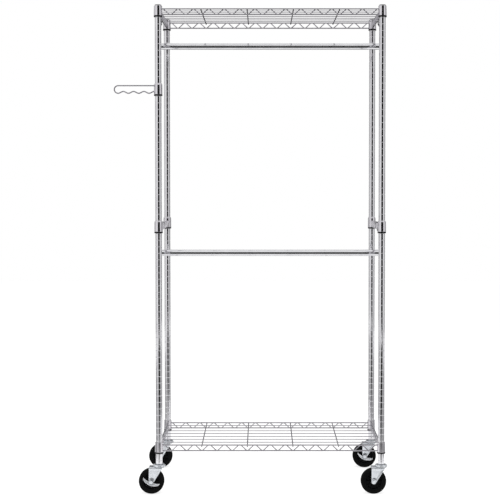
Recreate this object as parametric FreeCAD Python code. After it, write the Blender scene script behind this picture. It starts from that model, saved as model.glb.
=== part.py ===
import FreeCAD, Part
import math
import os

# Rolling clothes rack of chromed wire shelving: four grooved tube posts on swivel casters, a wire
# shelf at the top and at the bottom, a side brace half way up, two hanging rods and a side arm.
# Millimetres. X runs along the rods, +Y to the back, +Z up. The origin is on the floor, midway
# between the four posts.

V = FreeCAD.Vector
UP = V(0, 0, 1)

# Driving dimensions -----------------------------------------------------------------------------
post_spacing_x = 870.0
post_spacing_y = 414.0
post_d = 25.4
post_wall = 1.2
groove_pitch = 25.4
groove_depth = 0.5
groove_width = 2.6
first_groove = 13.2          # above the post's lower end
post_above_top_rib = 21.0

# Each level is the post groove that its sleeves snap into, counted up from the first groove.
bottom_shelf_groove = 2
brace_groove = 36
arm_groove = 57
top_shelf_groove = 69

# Wedge sleeves and the collars that slide down over them.
sleeve_clearance = 0.05
sleeve_split = 1.0
sleeve_bottom_wall = 2.2
shelf_sleeve_top_wall = 1.1
brace_sleeve_top_wall = 1.8
ring_height = 6.0
collar_wall = 1.5
collar_below_rib = 18.0
shelf_collar_above_rib = 20.0
brace_collar_above_rib = 24.0
brace_collar_shoulder = 8.0
collar_neck_clearance = 0.3

# Wire trusses and shelf mats.
rail_wire_d = 5.0
snake_wire_d = 4.0
upper_wire_above_rib = 8.0
lower_wire_below_rib = 14.0
snake_bend_r = 8.0
snake_pitch = 59.6
cross_wire_d = 4.5
cross_wire_count = 4
waves_per_cross_wire = 3
mat_wire_d = 3.5
mat_bays = 8

# Hanging rods and the straps that carry them.
rod_d = 25.4
rod_wall = 1.2
rod_length = 914.0           # over the end plugs
rod_plug_flange = 2.5
rod_plug_depth = 14.0
rod_drop = 100.0             # truss lower wire to rod axis
strap_width = 24.0
strap_thickness = 3.0
strap_eye_margin = 5.5
strap_from_rod_end = 7.5     # strap's outer face to the rod's end
strap_bend_r = 4.5
hook_tip_gap = 2.0           # above the zigzag wire, at the finger's side edges
hook_slot_gap = 1.0          # each side of a mat wire that ends between the hook's two fingers
strap_jog_below = 10.0       # below the truss lower wire's centre
strap_jog_height = 12.0
wire_clearance = 0.2
strap_eye_clearance = 0.1

# Side arm.
arm_wire_d = 5.0
arm_reach = 173.0            # post axis to the loop's outer edge
arm_top_above_rib = 16.0
arm_trough_below_rib = 13.5
arm_wave_pitch = 40.0
arm_wave_height = 7.0

# Threaded plugs, studs and caps in the post tubes.
thread_d = 12.0
thread_clearance = 0.1
insert_length = 24.0
socket_length = 34.0
stud_length = 40.0
cap_height = 3.0
cap_plug_depth = 10.0
tube_fit = 0.05

# Casters.
wheel_d = 100.0
tyre_width = 30.0
tyre_shoulder = 6.0
tyre_thickness = 14.0
rim_width = 26.0
rim_wall = 4.0
web_width = 8.0
boss_d = 27.0
boss_end_gap = 1.0
axle_d = 8.0
axle_clearance = 0.1
bush_d = 13.0
bush_end_gap = 0.1
running_clearance = 0.05
trail = 30.0                 # swivel axis to axle, towards -X
fork_gap = 38.4              # between the legs
fork_wall = 2.5
leg_end_r = 9.0
crown_r = 22.5
wheel_to_crown = 3.5
leg_top_front = 14.0         # ahead of the swivel axis
ball_d = 6.0
ball_circle_r = 15.5
ball_count = 12
ball_gap = 0.1
cup_r = 24.5
cup_wall = 2.5
cup_skirt_gap = 1.2
pin_d = 12.0
pin_clearance = 0.3
pin_head_r = 9.0
pin_head_height = 3.0
stem_length = 30.0
hex_flat = 19.0
hex_height = 3.3
bolt_head_flat = 13.0
bolt_head_height = 5.3
nut_height = 6.8
end_gap = 0.3

# Brake levers.
cam_r = 9.0
cam_height = 3.0
lever_wall = 2.5
lever_half_length = 34.0
lever_tip_rise = 3.5
lever_head_gap = 0.5         # between the tread and the bolt head's corners
lever_belly_depth = 9.0
lever_hub_r = 8.0
pedal_width = 14.0
lever_tilt = 21.0            # degrees, trailing end up when released
lever_clearance = 0.08

# Derived ----------------------------------------------------------------------------------------
half_x = post_spacing_x / 2
half_y = post_spacing_y / 2
post_r = post_d / 2
axle_z = wheel_d / 2
lever_belly = bolt_head_flat / math.sqrt(3) + lever_head_gap + lever_wall
rim_d = wheel_d - 2 * tyre_thickness
ring_drop = collar_below_rib + ring_height
mat_pitch = post_spacing_y / mat_bays
cross_pitch = waves_per_cross_wire * snake_pitch
truss_height = upper_wire_above_rib + lower_wire_below_rib
snake_inset = (rail_wire_d + snake_wire_d) / 2
cross_wire_drop = (rail_wire_d + cross_wire_d) / 2
mat_wire_drop = cross_wire_drop - (cross_wire_d + mat_wire_d) / 2
crown_underside = wheel_d + wheel_to_crown
crown_top = crown_underside + fork_wall
cup_underside = crown_top + ball_d + 2 * ball_gap
cup_top = cup_underside + cup_wall
caster_height = cup_top + hex_height


def rib_z(groove):
    return caster_height + first_groove + groove * groove_pitch


bottom_z = rib_z(bottom_shelf_groove)
brace_z = rib_z(brace_groove)
arm_z = rib_z(arm_groove)
top_z = rib_z(top_shelf_groove)
post_top = top_z + post_above_top_rib
post_join = brace_z + groove_pitch / 2

corners = {
    "front_left": (-half_x, -half_y),
    "front_right": (half_x, -half_y),
    "back_left": (-half_x, half_y),
    "back_right": (half_x, half_y),
}
braked_corners = ("front_left", "back_right")


# Shape helpers ----------------------------------------------------------------------------------
def revolved(outline, degrees=360.0, start=0.0):
    """A solid of revolution about Z from (radius, height) points."""
    points = [V(r, 0, z) for r, z in outline]
    face = Part.Face(Part.makePolygon(points + points[:1]))
    solid = face.revolve(V(), UP, degrees)
    solid.rotate(V(), UP, start)
    return solid


def rod_between(start, end, diameter):
    return Part.makeCylinder(diameter / 2, (end - start).Length, start, end - start)


def plate_xz(points, y_low, thickness):
    """A plate in the XZ plane from (x, z) points, from y_low towards +Y."""
    ring = [V(x, y_low, z) for x, z in points]
    return Part.Face(Part.makePolygon(ring + ring[:1])).extrude(V(0, thickness, 0))


def bent_path(points, bend_r):
    """Straight runs through the points, with a tangent arc at each inner point."""
    edges, start = [], points[0]
    for before, at, after in zip(points, points[1:], points[2:]):
        back, ahead = (before - at).normalize(), (after - at).normalize()
        half_turn = (math.pi - back.getAngle(ahead)) / 2
        cut = bend_r * math.tan(half_turn)
        first, last = at + back * cut, at + ahead * cut
        inward = (back + ahead).normalize()
        middle = at + inward * bend_r * (1 / math.cos(half_turn) - 1)
        edges.append(Part.LineSegment(start, first).toShape())
        edges.append(Part.Arc(first, middle, last).toShape())
        start = last
    edges.append(Part.LineSegment(start, points[-1]).toShape())
    return Part.Wire(edges)


def swept(path, section):
    """The section swept along the path as one solid."""
    return path.makePipeShell([section], True, False)


def round_wire(path, diameter):
    edge = path.Edges[0]
    start = edge.valueAt(edge.FirstParameter)
    heading = edge.tangentAt(edge.FirstParameter)
    return swept(path, Part.Wire(Part.makeCircle(diameter / 2, start, heading)))


def moved(shape, x, y, z=0.0):
    copy = shape.copy()
    copy.translate(V(x, y, z))
    return copy


def hexagon(flat, height, base, heading):
    """A hexagonal prism across flats, from base along heading."""
    corner_r = flat / math.sqrt(3)
    points = [
        V(corner_r * math.cos(math.radians(a)), corner_r * math.sin(math.radians(a)), 0)
        for a in range(0, 420, 60)
    ]
    prism = Part.Face(Part.makePolygon(points)).extrude(V(0, 0, height))
    prism.Placement = FreeCAD.Placement(base, FreeCAD.Rotation(UP, heading))
    return prism


def save(name, solids):
    shape = Part.makeCompound(solids) if len(solids) > 1 else solids[0]
    shape.exportStep(f"parts/{name}.step")


def at_corners(shape, names=tuple(corners)):
    return [moved(shape, *corners[name]) for name in names]


# Posts ------------------------------------------------------------------------------------------
def post_tube(low, high):
    """A tube with a rolled groove every groove_pitch, between two heights."""
    outline = [(post_r - post_wall, low), (post_r, low)]
    flank = groove_width / 4
    for number in range(top_shelf_groove + 1):
        z = rib_z(number)
        if low + groove_width < z < high - groove_width:
            outline += [
                (post_r, z - groove_width / 2),
                (post_r - groove_depth, z - groove_width / 2 + flank),
                (post_r - groove_depth, z + groove_width / 2 - flank),
                (post_r, z + groove_width / 2),
            ]
    outline += [(post_r, high), (post_r - post_wall, high)]
    return revolved(outline)


def tube_insert(low, length):
    """A threaded plug pressed into a post tube."""
    bore = thread_d / 2 + thread_clearance
    outer = post_r - post_wall - tube_fit
    return revolved([(bore, low), (outer, low), (outer, low + length), (bore, low + length)])


def post_cap():
    """A push-in plug with a low domed head."""
    plug_r = post_r - post_wall - tube_fit
    chamfer = cap_height / 3
    return revolved([
        (0, post_top - cap_plug_depth), (plug_r, post_top - cap_plug_depth),
        (plug_r, post_top), (post_r, post_top),
        (post_r, post_top + cap_height - chamfer),
        (post_r - chamfer, post_top + cap_height), (0, post_top + cap_height),
    ])


def save_posts():
    lower, upper = post_tube(caster_height, post_join), post_tube(post_join, post_top)
    for name, (x, y) in corners.items():
        save(f"{name}_lower_post", [moved(lower, x, y)])
        save(f"{name}_upper_post", [moved(upper, x, y)])
    inserts = [
        tube_insert(caster_height, socket_length),
        tube_insert(post_join - insert_length, insert_length),
        tube_insert(post_join, insert_length),
    ]
    save("post_inserts", [part for insert in inserts for part in at_corners(insert)])
    stud = Part.makeCylinder(thread_d / 2, stud_length, V(0, 0, post_join - stud_length / 2))
    save("post_joining_studs", at_corners(stud))
    save("post_caps", at_corners(post_cap()))


# Collars and wedge sleeves ----------------------------------------------------------------------
def collar_outline(rib, shouldered):
    """Outer (radius, height) points of a collar, bottom first."""
    over_sleeve = post_r + 2 * sleeve_clearance + collar_wall
    bottom = (over_sleeve + sleeve_bottom_wall, rib - collar_below_rib)
    if not shouldered:
        return [bottom, (over_sleeve + shelf_sleeve_top_wall, rib + shelf_collar_above_rib)]
    top = rib + brace_collar_above_rib
    neck = post_r + collar_neck_clearance + collar_wall
    return [bottom, (over_sleeve + brace_sleeve_top_wall, top - brace_collar_shoulder), (neck, top)]


def collar(rib, shouldered=False):
    outer = collar_outline(rib, shouldered)
    inner = [(r - collar_wall, z) for r, z in reversed(outer)]
    return revolved(outer + inner)


def collar_envelope(rib, shouldered=False):
    """The solid inside a collar's outer face, which trims what is welded to the collar."""
    outer = collar_outline(rib, shouldered)
    return revolved([(0, outer[0][1]), *outer, (0, outer[-1][1])])


def sleeve_halves(rib, shouldered=False):
    """Two wedge halves on the post, with a snap rib in the groove and a ring below the collar."""
    seat = collar_outline(rib, shouldered)[:2]
    bottom, top = [(r - collar_wall - sleeve_clearance, z) for r, z in seat]
    inner = post_r + sleeve_clearance
    snap_r = post_r - groove_depth + sleeve_clearance
    rib_half = groove_width / 2 - sleeve_clearance
    flank = groove_width / 4
    outline = [
        (inner, rib - ring_drop), (seat[0][0], rib - ring_drop),
        (seat[0][0], bottom[1]), bottom, top, (inner, top[1]),
        (inner, rib + rib_half), (snap_r, rib + rib_half - flank),
        (snap_r, rib - rib_half + flank), (inner, rib - rib_half),
    ]
    gap = math.degrees(sleeve_split / post_r)
    return [revolved(outline, 180 - gap, start + gap / 2) for start in (0, 180)]


def save_sleeves():
    for name, rib in (("bottom_shelf", bottom_z), ("top_shelf", top_z)):
        halves = sleeve_halves(rib)
        save(f"{name}_sleeves", [part for half in halves for part in at_corners(half)])
    halves = sleeve_halves(brace_z, True)
    save("side_brace_sleeves", [part for half in halves for part in at_corners(half)])
    save("side_arm_sleeve",
         [moved(half, *corners["front_left"]) for half in sleeve_halves(arm_z, True)])


# Trusses and mats -------------------------------------------------------------------------------
def snake_rise(pitch):
    """The slope of a zigzag's straight runs, and how far they would meet beyond each wire."""
    slope = math.atan2(truss_height, pitch / 2)
    for _ in range(20):
        overshoot = snake_bend_r * (1 / math.cos(slope) - 1)
        slope = math.atan2(truss_height + 2 * overshoot, pitch / 2)
    return slope, overshoot


def snake(half_length, pitch, low_at_centre):
    """A zigzag wire along X between heights 0 and truss_height, with rounded apexes."""
    overshoot = snake_rise(pitch)[1]
    heights = (-overshoot, truss_height + overshoot)
    last = math.ceil(half_length / (pitch / 2))
    points = []
    for k in range(-last, last + 1):
        low = (k % 2 == 0) == low_at_centre
        points.append(V(k * pitch / 2, 0, heights[0] if low else heights[1]))
    for end, beside in ((0, 1), (-1, -2)):
        share = (half_length - abs(points[beside].x)) / (pitch / 2)
        points[end] = points[beside] + (points[end] - points[beside]) * share
    return round_wire(bent_path(points, snake_bend_r), snake_wire_d)


def truss(half_length, pitch, low_at_centre, inset):
    """Two straight wires with the zigzag welded to one side, from the lower wire's height."""
    ends = V(-half_length, 0, 0), V(half_length, 0, 0)
    raise_by = V(0, 0, truss_height)
    return [
        rod_between(*ends, rail_wire_d),
        rod_between(ends[0] + raise_by, ends[1] + raise_by, rail_wire_d),
        moved(snake(half_length, pitch, low_at_centre), 0, inset),
    ]


def trimmed(solids, tools):
    """Each solid cut by the tools whose boxes it meets, without the stub that a tool cuts off."""
    out = []
    for solid in solids:
        for tool in tools:
            if solid.BoundBox.intersect(tool.BoundBox):
                solid = max(solid.cut(tool).Solids, key=lambda piece: piece.Volume)
        out.append(solid)
    return out


def side_truss(side, rib):
    """The front-to-back truss between two posts, on the left (-1) or the right (1)."""
    parts = truss(half_y, mat_pitch, True, side * snake_inset)
    for part in parts:
        part.rotate(V(), UP, 90)
    return [moved(part, side * half_x, 0, rib - lower_wire_below_rib) for part in parts]


def long_truss(side, rib):
    """The left-to-right truss at the front (-1) or the back (1)."""
    parts = truss(half_x, snake_pitch, False, -side * snake_inset)
    return [moved(part, 0, side * half_y, rib - lower_wire_below_rib) for part in parts]


def shelf_mat(rib):
    """Long wires laid on cross wires, which are welded under the front and back rails."""
    upper = rib + upper_wire_above_rib
    rails = [
        rod_between(V(x, -half_y, upper), V(x, half_y, upper), rail_wire_d)
        for x in (-half_x, half_x)
    ]
    wires = []
    for number in range(1, mat_bays):
        y = -half_y + number * mat_pitch
        z = upper - mat_wire_drop
        wires.append(rod_between(V(-half_x, y, z), V(half_x, y, z), mat_wire_d))
    wires = trimmed(wires, rails)
    reach = half_y + rail_wire_d / 2
    for number in range(cross_wire_count):
        x = (number - (cross_wire_count - 1) / 2) * cross_pitch
        z = upper - cross_wire_drop
        wires.append(rod_between(V(x, -reach, z), V(x, reach, z), cross_wire_d))
    return wires


def save_shelves():
    for name, rib in (("bottom_shelf", bottom_z), ("top_shelf", top_z)):
        save(f"{name}_collars", at_corners(collar(rib)))
        rails = long_truss(-1, rib) + long_truss(1, rib)
        rails += side_truss(-1, rib) + side_truss(1, rib)
        save(f"{name}_rails", trimmed(rails, at_corners(collar_envelope(rib))))
        save(f"{name}_mat", shelf_mat(rib))


def save_side_braces():
    save("side_brace_collars", at_corners(collar(brace_z, True)))
    envelopes = at_corners(collar_envelope(brace_z, True))
    for name, side in (("left", -1), ("right", 1)):
        save(f"{name}_side_brace", trimmed(side_truss(side, brace_z), envelopes))


# Hanging rods -----------------------------------------------------------------------------------
def rod_strap(rod_z):
    """A flat strap with an eye on the rod, hooked over the truss above it, at the right."""
    outer = rod_length / 2 - strap_from_rod_end - strap_thickness / 2
    off_wire = rail_wire_d / 2 + wire_clearance + strap_thickness / 2
    lower_wire = rod_z + rod_drop
    upper_wire = lower_wire + truss_height
    slope, overshoot = snake_rise(mat_pitch)
    zigzag_top = strap_width / 2 * math.tan(slope) - overshoot + snake_wire_d / 2 / math.cos(slope)
    hook_tip = lower_wire + zigzag_top + hook_tip_gap
    jog = lower_wire - strap_jog_below
    path = bent_path([
        V(half_x - off_wire, 0, hook_tip), V(half_x - off_wire, 0, upper_wire + off_wire),
        V(half_x + off_wire, 0, upper_wire + off_wire), V(half_x + off_wire, 0, jog),
        V(outer, 0, jog - strap_jog_height), V(outer, 0, rod_z),
    ], strap_bend_r - strap_thickness / 2)
    start = path.Vertexes[0].Point
    t, w = strap_thickness / 2, strap_width / 2
    section = Part.makePolygon([start + V(a * t, b * w, 0) for a, b in
                                ((-1, -1), (1, -1), (1, 1), (-1, 1), (-1, -1))])
    face = V(outer - t, 0, rod_z)
    eye = Part.makeCylinder(rod_d / 2 + strap_eye_margin, strap_thickness, face, V(1, 0, 0))
    hole = Part.makeCylinder(rod_d / 2 + strap_eye_clearance, 6 * strap_thickness,
                             face - V(strap_thickness * 2, 0, 0), V(1, 0, 0))
    slot_half = mat_wire_d / 2 + hook_slot_gap
    slot_top = upper_wire - mat_wire_drop + mat_wire_d / 2 + hook_slot_gap
    slot = Part.makeBox(2 * strap_thickness, 2 * slot_half, slot_top - lower_wire,
                        V(start.x - strap_thickness, -slot_half, lower_wire))
    return swept(path, section).fuse(eye).removeSplitter().cut([hole, slot]).Solids[0]


def save_rods():
    plugs = []
    for name, rib in (("upper", top_z), ("lower", brace_z)):
        z = rib - lower_wire_below_rib - rod_drop
        half = rod_length / 2 - rod_plug_flange
        tube = rod_between(V(-half, 0, z), V(half, 0, z), rod_d)
        bore = rod_between(V(-half, 0, z), V(half, 0, z), rod_d - 2 * rod_wall)
        save(f"{name}_hanging_rod", [tube.cut(bore)])
        strap = rod_strap(z)
        save(f"{name}_rod_straps", [strap, strap.mirror(V(), V(1, 0, 0))])
        flange = Part.makeCylinder(rod_d / 2, rod_plug_flange, V(half, 0, z), V(1, 0, 0))
        flange = flange.makeFillet(rod_plug_flange / 3, [e for e in flange.Edges
                                   if abs(e.CenterOfMass.x - half - rod_plug_flange) < 1e-6
                                   and e.Length > rod_d])
        plug = Part.makeCylinder(rod_d / 2 - rod_wall - tube_fit, rod_plug_depth,
                                 V(half - rod_plug_depth, 0, z), V(1, 0, 0))
        end = flange.fuse(plug).removeSplitter()
        plugs += [end, end.mirror(V(), V(1, 0, 0))]
    save("rod_end_plugs", [plug.Solids[0] for plug in plugs])


# Side arm ---------------------------------------------------------------------------------------
def side_arm():
    """A vertical loop of wire on the front left post: straight above, wavy below."""
    top, trough = arm_top_above_rib, -arm_trough_below_rib
    end_r = (top - trough) / 2
    end_x = -(arm_reach - arm_wire_d / 2 - end_r)
    quarter, amplitude = arm_wave_pitch / 4, arm_wave_height / 2
    wave_r = (quarter ** 2 + amplitude ** 2) / (2 * amplitude)
    middle = trough + amplitude
    edges = [
        Part.LineSegment(V(0, 0, top), V(end_x, 0, top)).toShape(),
        Part.Arc(V(end_x, 0, top), V(end_x - end_r, 0, top - end_r), V(end_x, 0, trough)).toShape(),
    ]
    first_bend = math.asin(quarter / wave_r) / 2
    sag = wave_r * (1 - math.cos(first_bend))
    run = wave_r * math.sin(first_bend)
    x = end_x + quarter
    edges.append(Part.Arc(V(end_x, 0, trough), V(end_x + run, 0, trough + sag),
                          V(x, 0, middle)).toShape())
    side = 1
    while x + 3 * quarter < -quarter / 2:
        peak = V(x + quarter, 0, middle + side * amplitude)
        edges.append(Part.Arc(V(x, 0, middle), peak, V(x + 2 * quarter, 0, middle)).toShape())
        x += 2 * quarter
        side = -side
    high = middle + side * amplitude
    near = V(x + quarter - run, 0, high - side * sag)
    edges.append(Part.Arc(V(x, 0, middle), near, V(x + quarter, 0, high)).toShape())
    edges.append(Part.LineSegment(V(x + quarter, 0, high), V(0, 0, high)).toShape())
    loop = moved(round_wire(Part.Wire(edges), arm_wire_d), -half_x, -half_y, arm_z)
    return trimmed([loop], [moved(collar_envelope(arm_z, True), -half_x, -half_y)])[0]


def save_side_arm():
    save("side_arm_loop", [side_arm()])
    save("side_arm_collar", [moved(collar(arm_z, True), *corners["front_left"])])


# Casters: each is modelled on the Z axis and moved under its post --------------------------------
def caster_stem():
    """The riveted king pin, ball cup, hexagon and threaded stem, which turn with the post."""
    head_top = crown_underside - end_gap
    pin_r = pin_d / 2
    skirt = crown_top + cup_skirt_gap
    bevel = cup_wall / 2
    pin = revolved([
        (0, head_top - pin_head_height), (pin_head_r, head_top - pin_head_height),
        (pin_head_r, head_top), (pin_r, head_top), (pin_r, cup_underside),
        (cup_r - cup_wall, cup_underside), (cup_r - cup_wall, skirt), (cup_r, skirt),
        (cup_r, cup_top - bevel), (cup_r - bevel, cup_top), (0, cup_top),
    ])
    hexagonal = hexagon(hex_flat, hex_height, V(0, 0, cup_top), UP)
    stem = Part.makeCylinder(thread_d / 2, stem_length, V(0, 0, caster_height))
    return pin.fuse([hexagonal, stem]).removeSplitter().Solids[0]


def swivel_balls():
    balls = []
    for number in range(ball_count):
        angle = 2 * math.pi * number / ball_count
        centre = V(ball_circle_r * math.cos(angle), ball_circle_r * math.sin(angle),
                   crown_top + ball_gap + ball_d / 2)
        balls.append(Part.makeSphere(ball_d / 2, centre))
    return balls


def fork():
    """A pressed yoke: round crown on the swivel axis and two tapering legs to the axle."""
    half_gap, half_outer = fork_gap / 2, fork_gap / 2 + fork_wall
    back = -trail - leg_end_r
    crown = Part.makeCylinder(crown_r, fork_wall, V(0, 0, crown_underside))
    deck = Part.makeBox(leg_top_front - back, 2 * half_outer, fork_wall,
                        V(back, -half_outer, crown_underside))
    tip = V(leg_top_front + trail, 0, crown_underside - axle_z)
    lean = math.atan2(tip.z, tip.x) - math.acos(leg_end_r / tip.Length)
    touch = (-trail + leg_end_r * math.cos(lean), axle_z + leg_end_r * math.sin(lean))
    outline = [(back, axle_z), touch, (leg_top_front, crown_underside),
               (leg_top_front, crown_top), (back, crown_top)]
    parts = [deck]
    for low in (-half_outer, half_gap):
        parts.append(plate_xz(outline, low, fork_wall))
        parts.append(Part.makeCylinder(leg_end_r, fork_wall, V(-trail, low, axle_z), V(0, 1, 0)))
    yoke = crown.fuse(parts).removeSplitter()
    pin_hole = Part.makeCylinder(pin_d / 2 + pin_clearance, 4 * fork_wall,
                                 V(0, 0, crown_underside - fork_wall))
    axle_hole = Part.makeCylinder(axle_d / 2 + axle_clearance, 4 * half_outer,
                                  V(-trail, -2 * half_outer, axle_z), V(0, 1, 0))
    return yoke.cut(pin_hole).cut(axle_hole).Solids[0]


def axle_bolt_and_nut(braked):
    """The hexagon bolt through both legs, with its nut at the back."""
    leg = fork_gap / 2 + fork_wall
    seat = leg + (cam_height + end_gap + lever_wall + end_gap if braked else 0)
    end = leg + nut_height + axle_d / 4
    bolt = Part.makeCylinder(axle_d / 2, seat + end, V(-trail, -seat, axle_z), V(0, 1, 0))
    head = hexagon(bolt_head_flat, bolt_head_height,
                   V(-trail, -seat - bolt_head_height, axle_z), V(0, 1, 0))
    nut = hexagon(bolt_head_flat, nut_height, V(-trail, leg, axle_z), V(0, 1, 0))
    bore = Part.makeCylinder(axle_d / 2 + running_clearance, 2 * nut_height,
                             V(-trail, leg - nut_height / 2, axle_z), V(0, 1, 0))
    return [bolt.fuse(head).removeSplitter().Solids[0], nut.cut(bore).Solids[0]]


def on_axle(solid):
    """A solid of revolution about Z, turned onto the wheel's axle."""
    solid.rotate(V(), V(1, 0, 0), -90)
    return moved(solid, -trail, 0, axle_z)


def wheel_bush():
    half = fork_gap / 2 - bush_end_gap
    bore = axle_d / 2 + axle_clearance
    return on_axle(revolved([(bore, -half), (bush_d / 2, -half), (bush_d / 2, half), (bore, half)]))


def wheel_hub():
    """Moulded rim, web and boss in one piece."""
    boss_half = fork_gap / 2 - boss_end_gap
    bore, boss, rim = bush_d / 2 + running_clearance, boss_d / 2, rim_d / 2
    web, rim_half = web_width / 2, rim_width / 2
    return on_axle(revolved([
        (bore, -boss_half), (boss, -boss_half), (boss, -web), (rim - rim_wall, -web),
        (rim - rim_wall, -rim_half), (rim, -rim_half), (rim, rim_half),
        (rim - rim_wall, rim_half), (rim - rim_wall, web), (boss, web),
        (boss, boss_half), (bore, boss_half),
    ]))


def tyre():
    """A solid rubber tyre with round shoulders on the rim."""
    tread, half = wheel_d / 2, tyre_width / 2
    blank = revolved([(rim_d / 2, -half), (tread, -half), (tread, half), (rim_d / 2, half)])
    shoulders = [e for e in blank.Edges if len(e.Vertexes) == 1 and e.Curve.Radius > tread - 1]
    return on_axle(blank.makeFillet(tyre_shoulder, shoulders))


def brake_cam():
    leg = fork_gap / 2 + fork_wall
    outer = Part.makeCylinder(cam_r, cam_height, V(-trail, -leg - cam_height, axle_z), V(0, 1, 0))
    bore = Part.makeCylinder(axle_d / 2 + axle_clearance, 3 * cam_height,
                             V(-trail, -leg - 2 * cam_height, axle_z), V(0, 1, 0))
    return outer.cut(bore)


def brake_lever():
    """A two-ended crescent pedal on the axle bolt, with a tread flange along its lower edge."""
    tip = lever_half_length

    def crescent(depth, inset):
        """Between the lower edge and one that is depth higher at the belly."""
        low = Part.Arc(V(-tip, 0, lever_tip_rise), V(0, 0, -lever_belly), V(tip, 0, lever_tip_rise))
        high = Part.Arc(V(tip, 0, lever_tip_rise + inset), V(0, 0, depth - lever_belly),
                        V(-tip, 0, lever_tip_rise + inset))
        sides = [Part.LineSegment(V(s * tip, 0, lever_tip_rise),
                                  V(s * tip, 0, lever_tip_rise + inset)).toShape() for s in (1, -1)]
        return Part.Face(Part.Wire([low.toShape(), sides[0], high.toShape(), sides[1]]))

    back = -(fork_gap / 2 + fork_wall + cam_height + end_gap)
    front = back - lever_wall
    web = moved(crescent(lever_belly_depth, lever_wall).extrude(V(0, lever_wall, 0)), 0, front)
    tread = moved(crescent(lever_wall, lever_wall).extrude(V(0, pedal_width, 0)),
                  0, back - pedal_width)
    hub = Part.makeCylinder(lever_hub_r, lever_wall, V(0, front, 0), V(0, 1, 0))
    bore = Part.makeCylinder(axle_d / 2 + lever_clearance, 3 * lever_wall,
                             V(0, front - lever_wall, 0), V(0, 1, 0))
    lever = web.fuse([tread, hub]).removeSplitter().cut(bore).Solids[0]
    lever.rotate(V(), V(0, 1, 0), lever_tilt)
    return moved(lever, -trail, 0, axle_z)


def save_casters():
    save("caster_stems", at_corners(caster_stem()))
    save("swivel_balls", [part for ball in swivel_balls() for part in at_corners(ball)])
    pieces = {"fork": fork(), "wheel_bush": wheel_bush(), "wheel_hub": wheel_hub(), "tyre": tyre()}
    for corner, place in corners.items():
        braked = corner in braked_corners
        for name, shape in pieces.items():
            save(f"{corner}_{name}", [moved(shape, *place)])
        save(f"{corner}_axle_bolt_and_nut", [moved(part, *place) for part in axle_bolt_and_nut(braked)])
        if braked:
            save(f"{corner}_brake_cam", [moved(brake_cam(), *place)])
            save(f"{corner}_brake_lever", [moved(brake_lever(), *place)])


os.makedirs("parts", exist_ok=True)
save_posts()
save_sleeves()
save_shelves()
save_side_braces()
save_rods()
save_side_arm()
save_casters()
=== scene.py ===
import math

import bmesh
import bpy
from mathutils import Matrix, Vector


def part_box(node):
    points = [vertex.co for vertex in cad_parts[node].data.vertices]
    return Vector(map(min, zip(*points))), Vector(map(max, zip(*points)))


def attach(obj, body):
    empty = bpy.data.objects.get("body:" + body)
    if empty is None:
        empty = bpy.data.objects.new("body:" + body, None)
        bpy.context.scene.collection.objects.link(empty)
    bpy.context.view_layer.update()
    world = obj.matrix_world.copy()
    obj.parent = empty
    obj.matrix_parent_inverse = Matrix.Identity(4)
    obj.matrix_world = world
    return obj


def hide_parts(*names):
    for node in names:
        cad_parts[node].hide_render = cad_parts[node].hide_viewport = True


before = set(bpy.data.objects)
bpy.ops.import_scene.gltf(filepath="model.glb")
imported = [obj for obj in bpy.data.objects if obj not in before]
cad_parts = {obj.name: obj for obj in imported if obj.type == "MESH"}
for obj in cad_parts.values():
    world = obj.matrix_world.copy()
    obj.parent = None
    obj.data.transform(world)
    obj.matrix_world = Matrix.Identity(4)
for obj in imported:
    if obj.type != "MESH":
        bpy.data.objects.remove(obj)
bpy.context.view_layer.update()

scene = bpy.context.scene


# The studio ---------------------------------------------------------------------------------------
# A white room with a pale floor, a broad soft lamp above and one at each side. Chrome shows only what
# it mirrors, so grey and black cards stand round the rack and lie on the floor, for mirrors alone.
def add(tree, kind, inputs=None, **settings):
    """A node, with its settings made and its inputs set, or linked where the value is a socket."""
    node = tree.nodes.new(kind)
    for setting, value in settings.items():
        setattr(node, setting, value)
    for socket, value in (inputs or {}).items():
        if isinstance(value, bpy.types.NodeSocket):
            tree.links.new(value, node.inputs[socket])
        else:
            node.inputs[socket].default_value = value
    return node


def sum_of(tree, operation, *values):
    """One arithmetic step on one, two or three values."""
    return add(tree, "ShaderNodeMath", dict(enumerate(values)), operation=operation).outputs[0]


def rays_that_show(tree):
    """One for a ray from the camera, a mirror or glass, and nothing for the light that fills in."""
    rays = add(tree, "ShaderNodeLightPath").outputs
    shown = sum_of(tree, "MAXIMUM", rays["Is Camera Ray"], rays["Is Transmission Ray"])
    return sum_of(tree, "MAXIMUM", shown, rays["Is Glossy Ray"])


def studio_room():
    """White to the eye, in mirrors and through glass, and an even soft light on everything else."""
    fill, shown = 0.62, 1.0
    world = bpy.data.worlds.new("studio_room")
    world.use_nodes = True
    tree = world.node_tree
    tree.nodes.clear()
    even = add(tree, "ShaderNodeBackground", {"Color": (1, 1, 1, 1), "Strength": fill})
    white = add(tree, "ShaderNodeBackground", {"Color": (1, 1, 1, 1), "Strength": shown})
    room = add(tree, "ShaderNodeMixShader", {0: rays_that_show(tree), 1: even.outputs[0],
                                             2: white.outputs[0]})
    add(tree, "ShaderNodeOutputWorld", {"Surface": room.outputs[0]})
    return world


def studio_piece(name, points):
    """A thin sheet of the studio through pairs of points, and its material, still empty."""
    mesh = bpy.data.meshes.new(name)
    mesh.from_pydata(points, [], [(n, n + 2, n + 3, n + 1) for n in range(0, len(points) - 2, 2)])
    piece = bpy.data.objects.new(name, mesh)
    scene.collection.objects.link(piece)
    paint = bpy.data.materials.new(name)
    paint.use_nodes = True
    paint.node_tree.nodes.clear()
    mesh.materials.append(paint)
    return piece, paint.node_tree


SWEEP_FRONT = -0.7


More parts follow.
